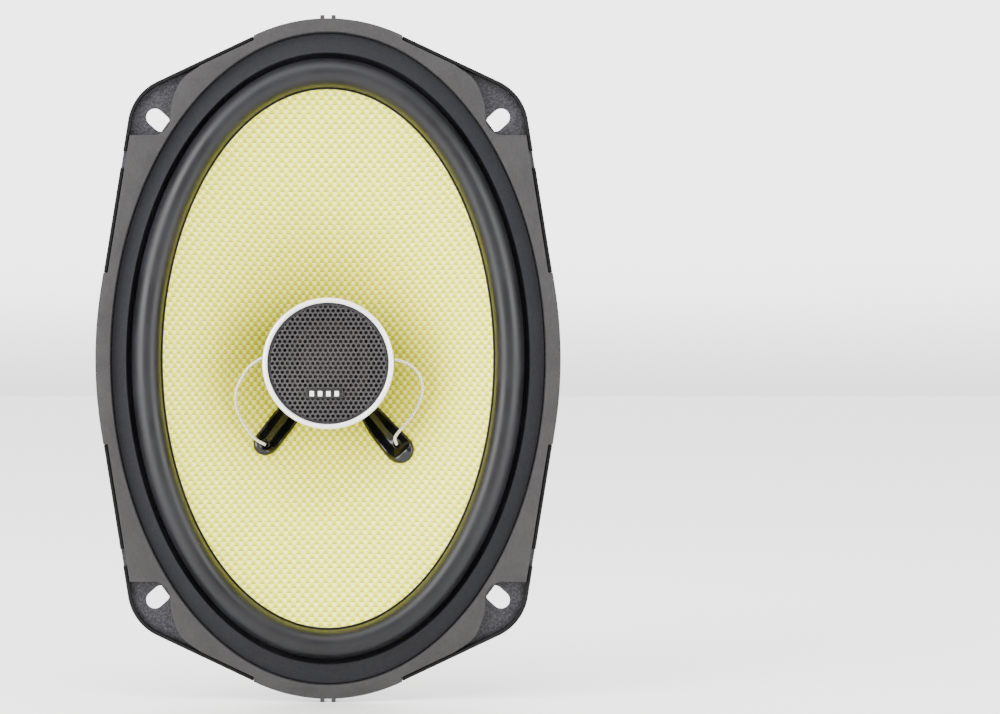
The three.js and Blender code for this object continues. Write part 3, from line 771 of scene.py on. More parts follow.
def spun(loop, spin, x=0, y=0):
    """A loop turned by the angle of a complex number and then moved."""
    placed = [complex(*p) * spin + complex(x, y) for p in loop]
    return [(p.real, p.imag) for p in placed]


def crossing(line, axis, value):
    """The point where a line of points first passes a value of x (axis 0) or y (axis 1)."""
    for (a, b) in zip(line, line[1:]):
        if (a[axis] - value) * (b[axis] - value) <= 0 and a[axis] != b[axis]:
            share = (value - a[axis]) / (b[axis] - a[axis])
            return tuple(a[k] + share * (b[k] - a[k]) for k in (0, 1))
    raise ValueError("the line never gets there")


def between(line, start, end):
    """The stretch of a quarter outline between two of its points, start nearer the side."""
    inner = [p for p in line if p[1] > start[1] + 1e-6 and p[0] > end[0] + 1e-6]
    return [start] + inner + [end]


def screw_slot():
    x, y, width, length, tilt = 59.05, 82.85, 6, 9.1, math.radians(42)
    half = (length - width) / 2
    radius = width / 2
    loop = arc(half, 0, radius, -math.pi / 2, math.pi / 2, 12)
    loop += arc(-half, 0, radius, math.pi / 2, 1.5 * math.pi, 12)
    return spun(loop, complex(math.cos(tilt), math.sin(tilt)), x, y)


# --- Basket ---

WALL = 1.3
SHELF_RADIUS = 56
SHELF_TOP = -35.3
SHELF_BOTTOM = -36.6
FLOOR_RADIUS = 48
FLOOR_HOLE = 19
BOWL = (71, 109)
WINDOW_LIPS = (60.5, 83)
WINDOW_CORNER = 4
CLIP_X = 44
CLIP_Y = 61
PIN_HOLE = (-50, 51.5)

BOWL_OUTSIDE = [
    (FLOOR_HOLE, FLOOR_HOLE, BASKET.back), (FLOOR_RADIUS, FLOOR_RADIUS, BASKET.back),
    (SHELF_RADIUS - 6, SHELF_RADIUS - 6, SHELF_BOTTOM), (SHELF_RADIUS, SHELF_RADIUS + 0.6, SHELF_BOTTOM),
    (67, 99, -15), (68.5, 102.5, -12.5), (70, 108, -6), grown(BOWL, -0.2, -1.8),
    grown(BOWL, 2.4, 0.05),
]
BOWL_INSIDE = [
    grown(BOWL, 2.4, PLATE_TOP - 0.4), grown(BOWL, -WALL, PLATE_TOP - 0.05),
    (68.7, 106.7, -5.8), (67.2, 101.4, -11.7), (65.8, 98.2, -13.9),
    (SHELF_RADIUS - 0.8, SHELF_RADIUS - 0.4, SHELF_TOP), (SHELF_RADIUS - 7, SHELF_RADIUS - 7, SHELF_TOP),
    (FLOOR_RADIUS - 1, FLOOR_RADIUS - 1, BASKET.back + WALL), (FLOOR_HOLE, FLOOR_HOLE, BASKET.back + WALL),
]


def outside(x, y, half_width, half_height):
    return (x / half_width) ** 2 + (y / half_height) ** 2 > 1


def reached(x, y, oval_at, rounds=24):
    """The share, found by halving, at which an oval that grows with it reaches a point."""
    low, high = 0.0, 1.0
    for _ in range(rounds):
        t = (low + high) / 2
        if outside(x, y, *oval_at(t)):
            low = t
        else:
            high = t
    return high


def oval_height(ovals, x, y):
    """Height of a surface, given as ovals that grow outwards, above a point of the face."""
    for (a0, b0, z0), (a1, b1, z1) in zip(ovals, ovals[1:]):
        if not outside(x, y, a1, b1):
            share = reached(x, y, lambda t: (a0 + t * (a1 - a0), b0 + t * (b1 - b0)))
            return z0 + share * (z1 - z0)
    return ovals[-1][2]


def window_outline(out, across, apex, inner, inner_angle, turn):
    """A basket window: a shallow outer arc, straight flanks along the legs and an inner arc
    round the spider shelf. It opens towards +x and is then turned."""
    sag = apex - out
    radius = (across ** 2 + sag ** 2) / (2 * sag)
    centre = apex - radius
    half = math.asin(across / radius)
    outer = arc(centre, 0, radius, -half, half, 24)
    shelf = arc(0, 0, inner, inner_angle, -inner_angle, 16)
    sizes = [0.0] * len(outer + shelf)
    for index in (0, len(outer) - 1, len(outer), len(sizes) - 1):
        sizes[index] = WINDOW_CORNER
    return spun(rounded_corners(outer + shelf, sizes), complex(math.cos(turn), math.sin(turn)))


def rounded_corners(points, sizes):
    """Rounds chosen corners of a finely divided loop, reaching across several of its points."""
    count = len(points)
    loop = [np.array(p, float) for p in points]
    drop = set()
    fillets = {}
    for index, size in enumerate(sizes):
        if size <= 0:
            continue
        ends = []
        for way in (-1, 1):
            left = size
            step = index
            while True:
                here, ahead = loop[step % count], loop[(step + way) % count]
                gap = np.linalg.norm(ahead - here)
                if gap >= left:
                    ends.append(here + (ahead - here) * left / gap)
                    break
                left -= gap
                step += way
                drop.add(step % count)
        start, end = ends
        fillets[index] = [
            (1 - t) ** 2 * start + 2 * t * (1 - t) * loop[index] + t * t * end
            for t in np.linspace(0, 1, 9)
        ]
    line = []
    for index in range(count):
        if index in fillets:
            line += fillets[index]
        elif index not in drop:
            line.append(loop[index])
    return [tuple(p) for p in line]


def windows():
    end = (84, 36, 99.5, 57, math.radians(20.5))
    side = (62, 43.6, 68.5, 56.8, math.radians(28.4))
    return [
        window_outline(*side, 0), window_outline(*end, math.pi / 2),
        window_outline(*side, math.pi), window_outline(*end, -math.pi / 2),
    ]


def clip_slot(x, y):
    """A U-shaped slot whose arms point at the speaker's axis."""
    width, reach, slit = 7.5, 13, 1.6
    loop = [
        (slit, -width / 2), (slit, width / 2), (-reach, width / 2), (-reach, width / 2 - slit),
        (0, width / 2 - slit), (0, slit - width / 2), (-reach, slit - width / 2), (-reach, -width / 2),
    ]
    return spun(rounded(loop, 0.6, 3), complex(x, y) / abs(complex(x, y)), x, y)


STRAND_RISE = 0.09


def tube(name, line, radius, sides, strands=0, twist=0.0):
    """A round cord along a line of row-frame points. With strands, its surface is plaited and
    its map's u goes round and its v along."""
    count = len(line)
    tangents = [
        (line[min(index + 1, count - 1)] - line[max(index - 1, 0)]).normalized() for index in range(count)
    ]
    normal = tangents[0].orthogonal().normalized()
    vertices, rounds = [], []
    travelled = 0.0
    for index, (point, tangent) in enumerate(zip(line, tangents)):
        if index:
            normal = (normal - tangent * normal.dot(tangent)).normalized()
            travelled += (point - line[index - 1]).length
        across = tangent.cross(normal)
        for side in range(sides):
            angle = 2 * math.pi * side / sides
            size = radius
            if strands:
                first = math.sin(strands * angle + twist * travelled)
                second = math.sin(strands * angle - twist * travelled)
                size *= 1 + STRAND_RISE * max(first, second)
            vertices.append(point + (normal * math.cos(angle) + across * math.sin(angle)) * size)
        rounds.append(travelled)
    faces = wrapped_quads(count, sides, False)
    faces.append(tuple(reversed(range(sides))))
    faces.append(tuple((count - 1) * sides + side for side in range(sides)))
    piece = new_object(name, vertices, faces, 60)
    if strands:
        layer = piece.data.uv_layers.new(name="plait")
        for polygon in piece.data.polygons[:(count - 1) * sides]:
            row, side = divmod(polygon.index, sides)
            corners = ((row, side), (row, side + 1), (row + 1, side + 1), (row + 1, side))
            for loop, (r, s) in zip(polygon.loop_indices, corners):
                layer.data[loop].uv = (strands * s / sides, twist * rounds[r] / (2 * math.pi))
    return piece


def rim_pieces():
    """The turned-up rim round the ears, in two stretches at each corner."""
    edge = flange_quarter()
    inside = flange_quarter(RIM_WIDTH)
    notch_from, notch_to = RIM_NOTCH
    pieces = []
    stretches = (
        (lambda line: crossing(line, 1, RIM_SIDE_BREAK), lambda line: crossing(line, 1, notch_from)),
        (lambda line: crossing(line, 1, notch_to), lambda line: crossing(line, 0, RIM_END_BREAK)),
    )
    for number, (start, end) in enumerate(stretches):
        outer = between(edge, start(edge), end(edge))
        inner = between(inside, start(inside), end(inside))
        for corner, loop in enumerate(four_corners(outer + inner[::-1])):
            pieces.append(flat_plate(f"rim_{number}_{corner}", [loop], 0.6, BASKET.front, 0.3))
    return pieces


def build_basket():
    plate_hole = oval(BOWL[0] - WALL / 2, BOWL[1] - WALL / 2)
    loops = [all_quarters(flange_quarter()), plate_hole] + four_corners(screw_slot())
    plate = flat_plate("flange_plate", loops, 0, PLATE_TOP, 0.35)
    section = rounded(BOWL_OUTSIDE + BOWL_INSIDE, 1.6, 4)
    bowl = ring("bowl", section, 224)
    slots = [clip_slot(CLIP_X, -CLIP_Y), clip_slot(-CLIP_X, CLIP_Y)]
    openings = windows() + slots + [circle(*PIN_HOLE, 1.0, 16)]
    for number, loop in enumerate(openings):
        cut(bowl, flat_plate(f"opening_{number}", [loop], BASKET.back - 5, -8))
    lips = []
    for number, (loop, reach) in enumerate(zip(windows(), WINDOW_LIPS * 2)):
        line = [
            at(x, y, oval_height(BOWL_OUTSIDE, x, y) + WALL / 2)
            for x, y in loop if max(abs(x), abs(y)) > reach
        ]
        smooth, _ = smooth_line(line, 120)
        lips.append(tube(f"lip_{number}", smooth, 0.85 * MM, 10))
    tongue_loop = rounded(rectangle(-4.75, 54.5, 4.75, 69), 0.9)
    hole = rounded(rectangle(-2.35, 63.4, 2.35, 66.6), 0.4)
    tongues = [
        flat_plate(
            f"tongue_{way}", [mirrored(tongue_loop, way, way), mirrored(hole, way, way)],
            SHELF_BOTTOM, SHELF_TOP, 0.3,
        )
        for way in (1, -1)
    ]
    rims = join("basket_rims", rim_pieces())
    settle(rims, RIM_PAINT, "frame")
    basket = join("basket_pressed", [bowl, plate] + lips + tongues)
    settle(basket, PAINT, "frame", "basket")


build_basket()


# --- Gasket, surround, cone and spider ---

GAP = 0.3
CONE_EDGE = (57.6, 93.7)
CONE_EDGE_Z = 1.8
CONE_NECK = 15.4
CONE_NECK_Z = -30
CONE_THICKNESS = 0.9
CONE_STRAIGHTNESS = 0.65
GASKET_HOLE = (75.4, 113)
FLAT_RING = (75.1, 112.7)
RING_INNER = (69.9, 106)
RING_TOP = 2.6
GROOVE_INNER = (68.2, 104.2)
ROLL_INNER = (57.9, 94)
ROLL_FOOT = 0.3
ROLL_INNER_FOOT = 1.5
ROLL_RISE = 7.6


def gasket_quarter():
    """The gasket's edge: the flange's own at its ends and sides, set in behind the rims between
    them, and cut back round the screw slots."""
    edge = flange_quarter()
    inside = flange_quarter(RIM_WIDTH + GAP)
    side_break = RIM_SIDE_BREAK - GAP
    end_break = RIM_END_BREAK - GAP
    ear_low = crossing(inside, 1, 77.3)
    ear_high = crossing(inside, 0, 43.8)
    side = between(edge, edge[0], crossing(edge, 1, side_break))
    flank = between(inside, crossing(inside, 1, side_break), ear_low)
    ear = [(58, 77.3), (54.4, 81), (54.5, 88), (50.9, 96.8)]
    shoulder = between(inside, ear_high, crossing(inside, 0, end_break))
    end = between(edge, crossing(edge, 0, end_break), edge[-1])
    loop = side + flank + ear + shoulder + end
    sizes = [0.0] * len(loop)
    first = len(side + flank)
    for index, size in zip(range(first, first + 4), (2.4, 2.4, 3.5, 3.5)):
        sizes[index] = size
    return rounded_corners(loop, sizes)


def build_gasket():
    loops = [all_quarters(gasket_quarter()), oval(*GASKET_HOLE)]
    back, front = GASKET.back, GASKET.front
    pieces = [flat_plate("gasket_plate", loops, back, front, 0.3)]
    for way in (1, -1):
        for x in (-1.95, 1.95):
            low, high = sorted((way * (GASKET.high_y - 1.6), way * GASKET.high_y))
            pieces.append(box(f"nub_{way}_{x}", (x - 0.75, low, back), (x + 0.75, high, front), 0.2))
    tab = [(58.6, 77), (57.7, 78.85), (54.95, 82.6), (54.2, 85.5), (53.2, 81.5), (56, 77.6)]
    for number, loop in enumerate(four_corners(tab)):
        pieces.append(flat_plate(f"tab_{number}", [loop], back, back + 0.5))
    gasket = join("gasket_ring", pieces)
    settle(gasket, BOARD, "frame", "front_gasket")


def cone_rise(t):
    curve = CONE_STRAIGHTNESS * t + (1 - CONE_STRAIGHTNESS) * (1 - (1 - t) ** 2)
    return CONE_NECK_Z + (CONE_EDGE_Z - CONE_NECK_Z) * curve


def cone_oval(t, drop=0.0):
    return (
        CONE_NECK + (CONE_EDGE[0] - CONE_NECK) * t, CONE_NECK + (CONE_EDGE[1] - CONE_NECK) * t,
        cone_rise(t) - drop,
    )


def cone_height(x, y):
    """Height of the cone's front face above a point of the face."""
    return cone_rise(reached(x, y, lambda t: cone_oval(t)[:2], 30))


def hang_between(piece):
    """Bakes a ring's placement into its mesh."""
    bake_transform(piece)


def build_surround():
    """A flat outer ring, a deep groove, the half roll and the lip glued under the cone's edge."""
    skin = 0.6
    steps = 32
    half = [(outer - inner) / 2 for outer, inner in zip(GROOVE_INNER, ROLL_INNER)]
    middle = [(outer + inner) / 2 for outer, inner in zip(GROOVE_INNER, ROLL_INNER)]
    top = []
    under = []
    for index in range(steps + 1):
        angle = math.pi * index / steps
        across, lift = math.cos(angle), math.sin(angle) ** 0.85
        foot = ROLL_FOOT + (ROLL_INNER_FOOT - ROLL_FOOT) * index / steps
        top.append((middle[0] + half[0] * across, middle[1] + half[1] * across, foot + ROLL_RISE * lift))
        under.append((
            middle[0] + (half[0] - skin) * across, middle[1] + (half[1] - skin) * across,
            foot - 0.3 + (ROLL_RISE - skin) * lift,
        ))
    section = [
        grown(FLAT_RING, -0.1, GASKET.back), grown(FLAT_RING, 0, GASKET.back + 0.2),
        grown(FLAT_RING, 0, RING_TOP - 0.2), grown(FLAT_RING, -0.2, RING_TOP),
        grown(RING_INNER, 0.5, RING_TOP), grown(RING_INNER, 0.25, RING_TOP + 0.12),
        grown(RING_INNER, 0, RING_TOP), grown(RING_INNER, -0.15, RING_TOP - 0.35),
        grown(RING_INNER, -0.9, 0.6), grown(RING_INNER, -1.3, ROLL_FOOT - 0.3),
    ]
    lip = CONE_THICKNESS + GAP
    section += top + [
        grown(CONE_EDGE, GAP, CONE_EDGE_Z - lip), cone_oval(0.935, lip), cone_oval(0.935, lip + skin),
        grown(ROLL_INNER, 0.4, CONE_EDGE_Z - lip - skin),
    ] + under[::-1] + [grown(RING_INNER, -1.2, ROLL_FOOT - 0.9), grown(RING_INNER, -0.5, 0.9)]
    roll = ring("surround_half_roll", section)
    roll.data.materials.append(RUBBER)
    # the flat ring takes the rubber painted a little lighter: painted light
    roll.data.materials.append(FLAT_RUBBER_PAINTED_LIGHTER)
    for polygon in roll.data.polygons:
        x, _, z = polygon.center / MM
        polygon.material_index = 1 if outside(x, z, RING_INNER[0] - 0.2, RING_INNER[1] - 0.2) else 0
    hang_between(roll)
    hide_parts("surround")


def build_cone():
    rows = 72
    shares = [row / rows for row in range(rows + 1)]
    back = [cone_oval(t, CONE_THICKNESS) for t in shares]
    front = [cone_oval(t) for t in reversed(shares)]
    section = back + [grown(CONE_EDGE, 0.1, CONE_EDGE_Z - 0.4)] + front
    shell = ring("cone_woven", section)
    settle(shell, WEAVE, "cone_assembly", "cone")


def build_edge_glue():
    """The thin seam of black glue round the cone's edge."""
    profile = [(0.28, -0.5), (0.28, 0.15), (0.0, 0.4), (-0.25, 0.2), (-0.35, -0.3)]
    seam = [grown(CONE_EDGE, out, CONE_EDGE_Z + up) for out, up in rounded(profile, 0.12, 3)]
    bead = ring("cone_edge_glue", seam)
    settle(bead, RUBBER, "cone_assembly")


def build_spider():
    """A disc of resin-stiffened cloth with round rolls between a flat hub and a flat edge."""
    hub, first, last, edge = 15.4, 19, 52, 55.0
    level, depth, skin = -34.0, 0.96, 0.6
    rolls = 7
    steps = rolls * 12
    front = [(hub, level)]
    for index in range(steps + 1):
        t = index / steps
        front.append((first + (last - first) * t, level + depth * math.sin(2 * math.pi * rolls * t)))
    front.append((edge, level))
    section = [(radius, z - skin) for radius, z in front] + front[::-1]
    cloth = round_ring("spider_corrugated", section, sharp_angle=60)
    dress(cloth, SPIDER_CLOTH)
    hang_between(cloth)
    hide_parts("spider")


build_gasket()
build_surround()
build_cone()
build_edge_glue()
build_spider()

# --- Leads: their routes are the same points as the CAD part's, in millimetres ---

TWEETER_LEAD_LEFT = [
    (-22.9, 0.3, -2), (-25.1, -1.1, -2.2), (-27.2, -2.7, -2.6), (-28.9, -4.7, -3.2), (-30.2, -6.9, -3.8),
    (-31.4, -9.2, -4.5), (-32.2, -11.6, -5.3), (-32.4, -14.1, -6.2), (-32.2, -16.6, -7.2), (-31.6, -19, -8.1),
    (-30.7, -21.3, -9), (-29.5, -23.5, -9.8), (-28, -25.7, -10.5), (-26.4, -27.7, -11.1),
    (-24.4, -29.3, -11.8), (-22.1, -30.5, -12.4),
]
TWEETER_LEAD_RIGHT = [
    (23.2, -0.4, -2), (25.8, -1, -2.2), (28.2, -2.1, -2.6), (30.2, -3.6, -3.1), (31.8, -5.6, -3.8),
    (32.7, -8, -4.5), (33.1, -10.5, -5.3), (32.8, -13, -6.1), (32, -15.3, -6.9), (31, -17.7, -7.7),
    (29.7, -19.9, -8.4), (28.2, -21.9, -9.1), (26.6, -23.9, -9.6), (24.9, -25.9, -10.1), (23.6, -28.1, -10.6),
    (24.3, -30.5, -11.1),
]
TINSEL_LEAD = [
    (15.9, -66.5, -39.5), (17.7, -65.2, -37.9), (19, -63.7, -36.1), (20.2, -62.2, -34.3),
    (21.2, -60.5, -32.4), (22, -58.6, -30.7), (22.7, -56.5, -29.1), (23.2, -54.3, -27.7),
    (23.5, -52, -26.3), (23.8, -49.6, -25.1), (24, -47.3, -23.7), (24.1, -45, -22.3),
    (24.1, -42.8, -20.7), (24.1, -40.6, -19.1), (24.1, -38.5, -17.4), (24, -36.5, -15.6),
]
TWEETER_LEAD_RADIUS = 0.48
TINSEL_RADIUS = 0.6


def build_lead(name, node, route, radius, material, slot):
    """A plaited lead that leaves the frame at its first point and ends on the cone."""
    path, length = smooth_line([at(*point) for point in route], 240)
    lead = tube(name, path, radius * MM, 24, strands=4, twist=2 * math.pi / (2.4 * MM))
    dress(lead, material)
    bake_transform(lead)
    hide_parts(node)


def build_leads():
    mirrored_route = [(-x, y, z) for x, y, z in TINSEL_LEAD]
    leads = (
        ("lead_left", "tweeter_lead_left", TWEETER_LEAD_LEFT, TWEETER_LEAD_RADIUS, BRAID, "lead_braid"),
        ("lead_right", "tweeter_lead_right", TWEETER_LEAD_RIGHT, TWEETER_LEAD_RADIUS, BRAID, "lead_braid"),
        ("tinsel_negative", "tinsel_lead_negative", TINSEL_LEAD, TINSEL_RADIUS, TINSEL, "tinsel"),
        ("tinsel_positive", "tinsel_lead_positive", mirrored_route, TINSEL_RADIUS, TINSEL, "tinsel"),
    )
    for lead in leads:
        build_lead(*lead)


build_leads()


# --- Glue beads that hold the tweeter leads on the cone ---

BEAD_HEIGHT = 2.6
BEAD_GAP = 0.06
BEAD_SINK = 0.35
BEAD_TIP = 4.2
EYELET_HEIGHT = 1.2
EYELET_WELL = math.sqrt(1.5)


def bell(value, centre, width):
    """A smooth hump that is 1 at its centre."""
    return math.exp(-((value - centre) / width) ** 2)


def bead_relief(t, across, groove_side):
    """How high a bead's face is at a share t of its length: a crown that bulges near the end, with
    a groove along one side and a ridge along the other."""
    crown = max(0.0, 1 - abs(across) ** 3.2) ** 0.55
    bulge = 0.62 + 0.38 * bell(t, 0.86, 0.12)
    groove = 0.52 * bell(across, 0.3 * groove_side, 0.36) * min(1.0, max(0.0, (0.84 - t) / 0.12))
    ridge = 0.16 * bell(across, -0.38 * groove_side, 0.16) * (1 - 0.6 * t)
    return crown * (bulge - groove * bulge + ridge)


def bead_faces(rows, columns):
    """The faces of a sheet of vertices, of the same sheet again below it and of their rim."""
    span = columns + 1
    total = (rows + 1) * span
    faces = []
    for row in range(rows):
        for column in range(columns):
            corner = row * span + column
            quad = (corner, corner + 1, corner + span + 1, corner + span)
            faces.append(quad)
            faces.append(tuple(index + total for index in reversed(quad)))
    rim = list(range(span))
    rim += [row * span + columns for row in range(1, rows + 1)]
    rim += [rows * span + column for column in range(columns - 1, -1, -1)]
    rim += [row * span for row in range(rows - 1, 0, -1)]
    for first, second in zip(rim, rim[1:] + rim[:1]):
        faces.append((first, first + total, second + total, second))
    return faces


def build_glue_bead(name, node, spine, widths, eyelet, groove_side):
    """A glossy run of glue on the cone down a spine of (x, y) points, with a well round the eyelet."""
    rows, columns = 80, 40
    line, _ = smooth_line([at(x, y, 0) for x, y in spine], rows + 1)
    face, base = [], []
    for row, point in enumerate(line):
        t = row / rows
        along = (line[min(row + 1, rows)] - line[max(row - 1, 0)]).normalized()
        side = Vector((-along.z, 0, along.x))
        tip = min(1.0, (1 - t) * BEAD_TIP)
        width = np.interp(t, [0, 0.3, 0.7, 1], widths) * math.sqrt(max(0.0, 1 - (1 - tip) ** 2))
        for column in range(columns + 1):
            across = -1 + 2 * column / columns
            place = point + side * (width / 2 * across * MM)
            x, y = place.x / MM, place.z / MM
            well = 0.5 * bell(math.hypot(x - eyelet[0], y - eyelet[1]), 0, EYELET_WELL)
            height = BEAD_HEIGHT * bead_relief(t, across, groove_side) * (1 - well)
            height *= min(1.0, tip * 1.6) ** 0.4
            cone = cone_height(x, y)
            face.append(at(x, y, cone + height + BEAD_GAP))
            base.append(at(x, y, cone - BEAD_SINK))
    bead = new_object(name, face + base, bead_faces(rows, columns), 70)
    weld(bead.data, 2e-6)
    bead.data.shade_smooth()
    settle(bead, GLUE, "cone_assembly", node)


def build_eyelet(name, x, y):
    hole = [(0.75, -0.5), (1.35, -0.5), (1.5, -0.1), (1.35, 0.2), (1.1, 0.3), (0.85, 0.15), (0.75, -0.1)]
    eyelet = round_ring(name, rounded(hole, 0.15, 2), 40)
    move(eyelet, x, y, cone_height(x, y) + EYELET_HEIGHT)
    settle(eyelet, GLUE, "cone_assembly")


LEFT_EYELET = TWEETER_LEAD_LEFT[-1][:2]
RIGHT_EYELET = TWEETER_LEAD_RIGHT[-1][:2]
build_glue_bead(
    "glue_run_left", "glue_bead_left", [(-12.6, -18), (-17.5, -24.2), (-21.2, -29), (-25.1, -33.2)],
    [8.4, 9.0, 9.0, 8.8], LEFT_EYELET, 1,
)
build_glue_bead(
    "glue_run_right", "glue_bead_right", [(13.9, -18.2), (18.8, -24.6), (23.8, -30.4), (28.7, -35.8)],
    [7.0, 9.0, 10.2, 10.4], RIGHT_EYELET, -1,
)
build_eyelet("eyelet_left", *LEFT_EYELET)
build_eyelet("eyelet_right", *RIGHT_EYELET)


# --- Tweeter ---

GRILLE_PITCH = 1.75
GRILLE_HOLE = 1.28
GRILLE_RISE = 1.5
GRILLE_FALL = 0.9
GRILLE_THICKNESS = 0.55
TWEETER_Y = BEZEL.middle_y


def lower(piece):
    """Moves a piece that was made on the speaker's axis to the tweeter's own, just below it."""
    move(piece, 0, TWEETER_Y)


def grille_height(x, y):
    """The mesh is a shallow dome that drops away at its rim: the height of its outer face."""
    share = min(1.0, math.hypot(x, y) / GRILLE.x)
    rim = max(0.0, share - 0.93) / 0.07
    return GRILLE.front - GRILLE_RISE * share ** 2.2 - GRILLE_FALL * rim ** 2


def within(x, y, reach):
    """The point itself, or where its spoke meets the circle that it lies outside of."""
    share = min(1.0, reach / max(math.hypot(x, y), 1e-9))
    return x * share, y * share


def grille_cells(reach):
    """A round sheet of hexagons, each with a round hole: its points and faces."""
    row_step = GRILLE_PITCH * math.sqrt(3) / 2
    rows = int(reach / row_step) + 2
    hexagon = (GRILLE_PITCH / math.sqrt(3), GRILLE_PITCH / 2)
    hole = (GRILLE_HOLE / 2, GRILLE_HOLE / 2)
    points, faces = [], []
    for row in range(-rows, rows + 1):
        for column in range(-rows, rows + 1):
            x = (column + (row % 2) / 2) * GRILLE_PITCH
            y = row * row_step
            if math.hypot(x, y) > reach + GRILLE_PITCH * 0.55:
                continue
            first = len(points)
            for sizes in (hexagon, hole):
                for corner in range(12):
                    angle = math.pi / 6 * (corner + 1)
                    size = sizes[corner % 2]
                    points.append(within(x + size * math.cos(angle), y + size * math.sin(angle), reach))
            for corner in range(12):
                beside = (corner + 1) % 12
                faces.append((first + corner, first + beside, first + 12 + beside, first + 12 + corner))
    return points, faces


def build_grille():
    """The perforated sheet, pressed into a dome and given its thickness, and its plain edge."""
    points, faces = grille_cells(GRILLE.x - 0.35)
    sheet = new_object("grille_sheet", [at(x, y, grille_height(x, y)) for x, y in points], faces, 60)
    weld(sheet.data, 4e-6)
    with editing(sheet.data) as work:
        thin = [face for face in work.faces if face.calc_area() < 1e-10]
        bmesh.ops.delete(work, geom=thin, context="FACES")
        for face in work.faces:
            if face.normal.y > 0:
                face.normal_flip()
    solid = sheet.modifiers.new("thickness", "SOLIDIFY")
    solid.thickness = GRILLE_THICKNESS * MM
    solid.offset = -1
    apply_modifiers(sheet)
    low, outer = GRILLE.back, GRILLE.x
    edge = round_ring("grille_edge", [
        (outer - 0.7, low), (outer, low), (outer, low + 0.35), (outer - 0.7, low + 0.25),
    ])
    grille = join("grille_perforated", [sheet, edge])
    lower(grille)
    settle(grille, MESH_PAINT, "frame", "tweeter_grille")


def build_badge():
    low = (BADGE.low_x, BADGE.low_y, BADGE.back)
    plate = box("badge_plate", low, (BADGE.high_x, BADGE.high_y, BADGE.front), 0.25)
    settle(plate, BADGE_PLASTIC, "frame", "tweeter_badge")
    marks = []
    pitch, wide, tall = 2.85, 0.75, 0.9
    y, front = BADGE.middle_y, BADGE.front
    for index in range(4):
        x = BADGE.middle_x + pitch * (index - 1.5)
        high = (x + wide, y + tall, front + 0.06)
        marks.append(box(f"mark_{index}", (x - wide, y - tall, front - 0.05), high, 0.05, 1))
    print_marks = join("badge_marks", marks)
    settle(print_marks, WHITE_PRINT, "frame")


def build_bezel():
    inner, outer = 20.9, BEZEL.x
    back, front = BEZEL.back, BEZEL.front
    section = [
        (inner + 0.1, back), (outer - 0.05, back), (outer, back + 0.3), (outer, front - 0.9),
        (outer - 0.25, front - 0.3), (outer - 0.8, front), (inner + 0.55, front),
        (inner + 0.1, front - 0.35), (inner, front - 0.8),
    ]
    bezel = round_ring("bezel_ring", rounded(section, 0.18, 3), 160)
    lower(bezel)
    settle(bezel, CHROME, "frame", "tweeter_bezel")


def build_housing():
    wall = 1.3
    outer, back, front = HOUSING.x, HOUSING.back, HOUSING.front
    floor = back + wall
    section = [
        (3.6, back), (outer - 2.2, back), (outer - 0.6, back + 0.6), (outer, back + 2.2),
        (outer, front - 1.2), (outer - 0.3, front - 0.9), (outer - 0.3, front),
        (outer - wall, front), (outer - wall, floor + 1.2), (outer - wall - 0.8, floor), (3.6, floor),
    ]
    cup = round_ring("housing_cup", rounded(section, 0.35, 3), 160)
    lower(cup)
    settle(cup, BLACK_PLASTIC, "frame", "tweeter_housing")


def build_dome():
    rise, radius, roll, skin = 3.4, 10.6, 15.6, 0.4
    front = []
    for index in range(25):
        angle = math.pi / 2 * index / 24
        front.append((radius * math.sin(angle), 0.4 + rise * math.cos(angle)))
    for index in range(1, 17):
        angle = math.pi * index / 16
        front.append((radius + (roll - radius) * (1 - math.cos(angle)) / 2, 0.4 + 1.2 * math.sin(angle)))
    back = [(radius, z - skin) for radius, z in front]
    profile = back + front[::-1]
    dome = turned("dome_silk", profile, sharp_angle=60)
    lower(dome)
    settle(dome, SILK, "tweeter_diaphragm", "tweeter_dome")


build_grille()
build_badge()
build_bezel()
build_housing()
build_dome()


# --- Motor ---

def build_boot():
    """The rubber cover: a smooth front part and fine ribs behind it."""
    inner, outer = 43.3, BOOT.x
    ribs_from = -52.5
    pitch = 1.55
    groove, crest = outer - 0.55, outer - 0.1
    outline = [(inner + 0.1, BOOT.back), (outer - 0.9, BOOT.back), (outer - 0.5, BOOT.back + 0.3)]
    z = BOOT.back + 0.9
    while z + pitch < ribs_from:
        outline += [(groove, z), (crest, z + 0.3), (crest, z + 0.8), (groove, z + 1.1)]
        z += pitch
    outline += [
        (outer - 0.4, ribs_from), (outer, ribs_from + 0.6), (outer, BOOT.front - 1.8),
        (outer - 1.2, BOOT.front), (inner + 0.1, BOOT.front),
    ]
    boot = round_ring("boot_ribbed", outline, 192)
    settle(boot, BOOT_RUBBER, "frame", "magnet_boot")


def build_yoke():
    bore, pole, step, rim = 3.2, 14.3, 42.9, YOKE.x
    back, ledge, plate_front, front = YOKE.back, -66.3, -64.2, YOKE.front
    profile = [
        (bore, back + 3), (6, back + 3), (6, back), (rim - 2.2, back), (rim - 0.6, back + 0.9),
        (rim, back + 2.0), (rim, ledge - 0.6), (rim - 0.5, ledge), (step, ledge), (step, plate_front),
        (pole + 2.5, plate_front), (pole, plate_front + 2.4), (pole, front - 1), (pole - 1, front),
        (bore, front),
    ]
    sizes = [0, 0, 0.3, 0.5, 0.7, 0.7, 0.3, 0.3, 0.2, 0.3, 1.2, 1.2, 0.4, 0.4, 0]
    section = rounded(profile, sizes, 4)
    yoke = round_ring("yoke_turned", section, 192)
    settle(yoke, STEEL, "frame", "t_yoke")


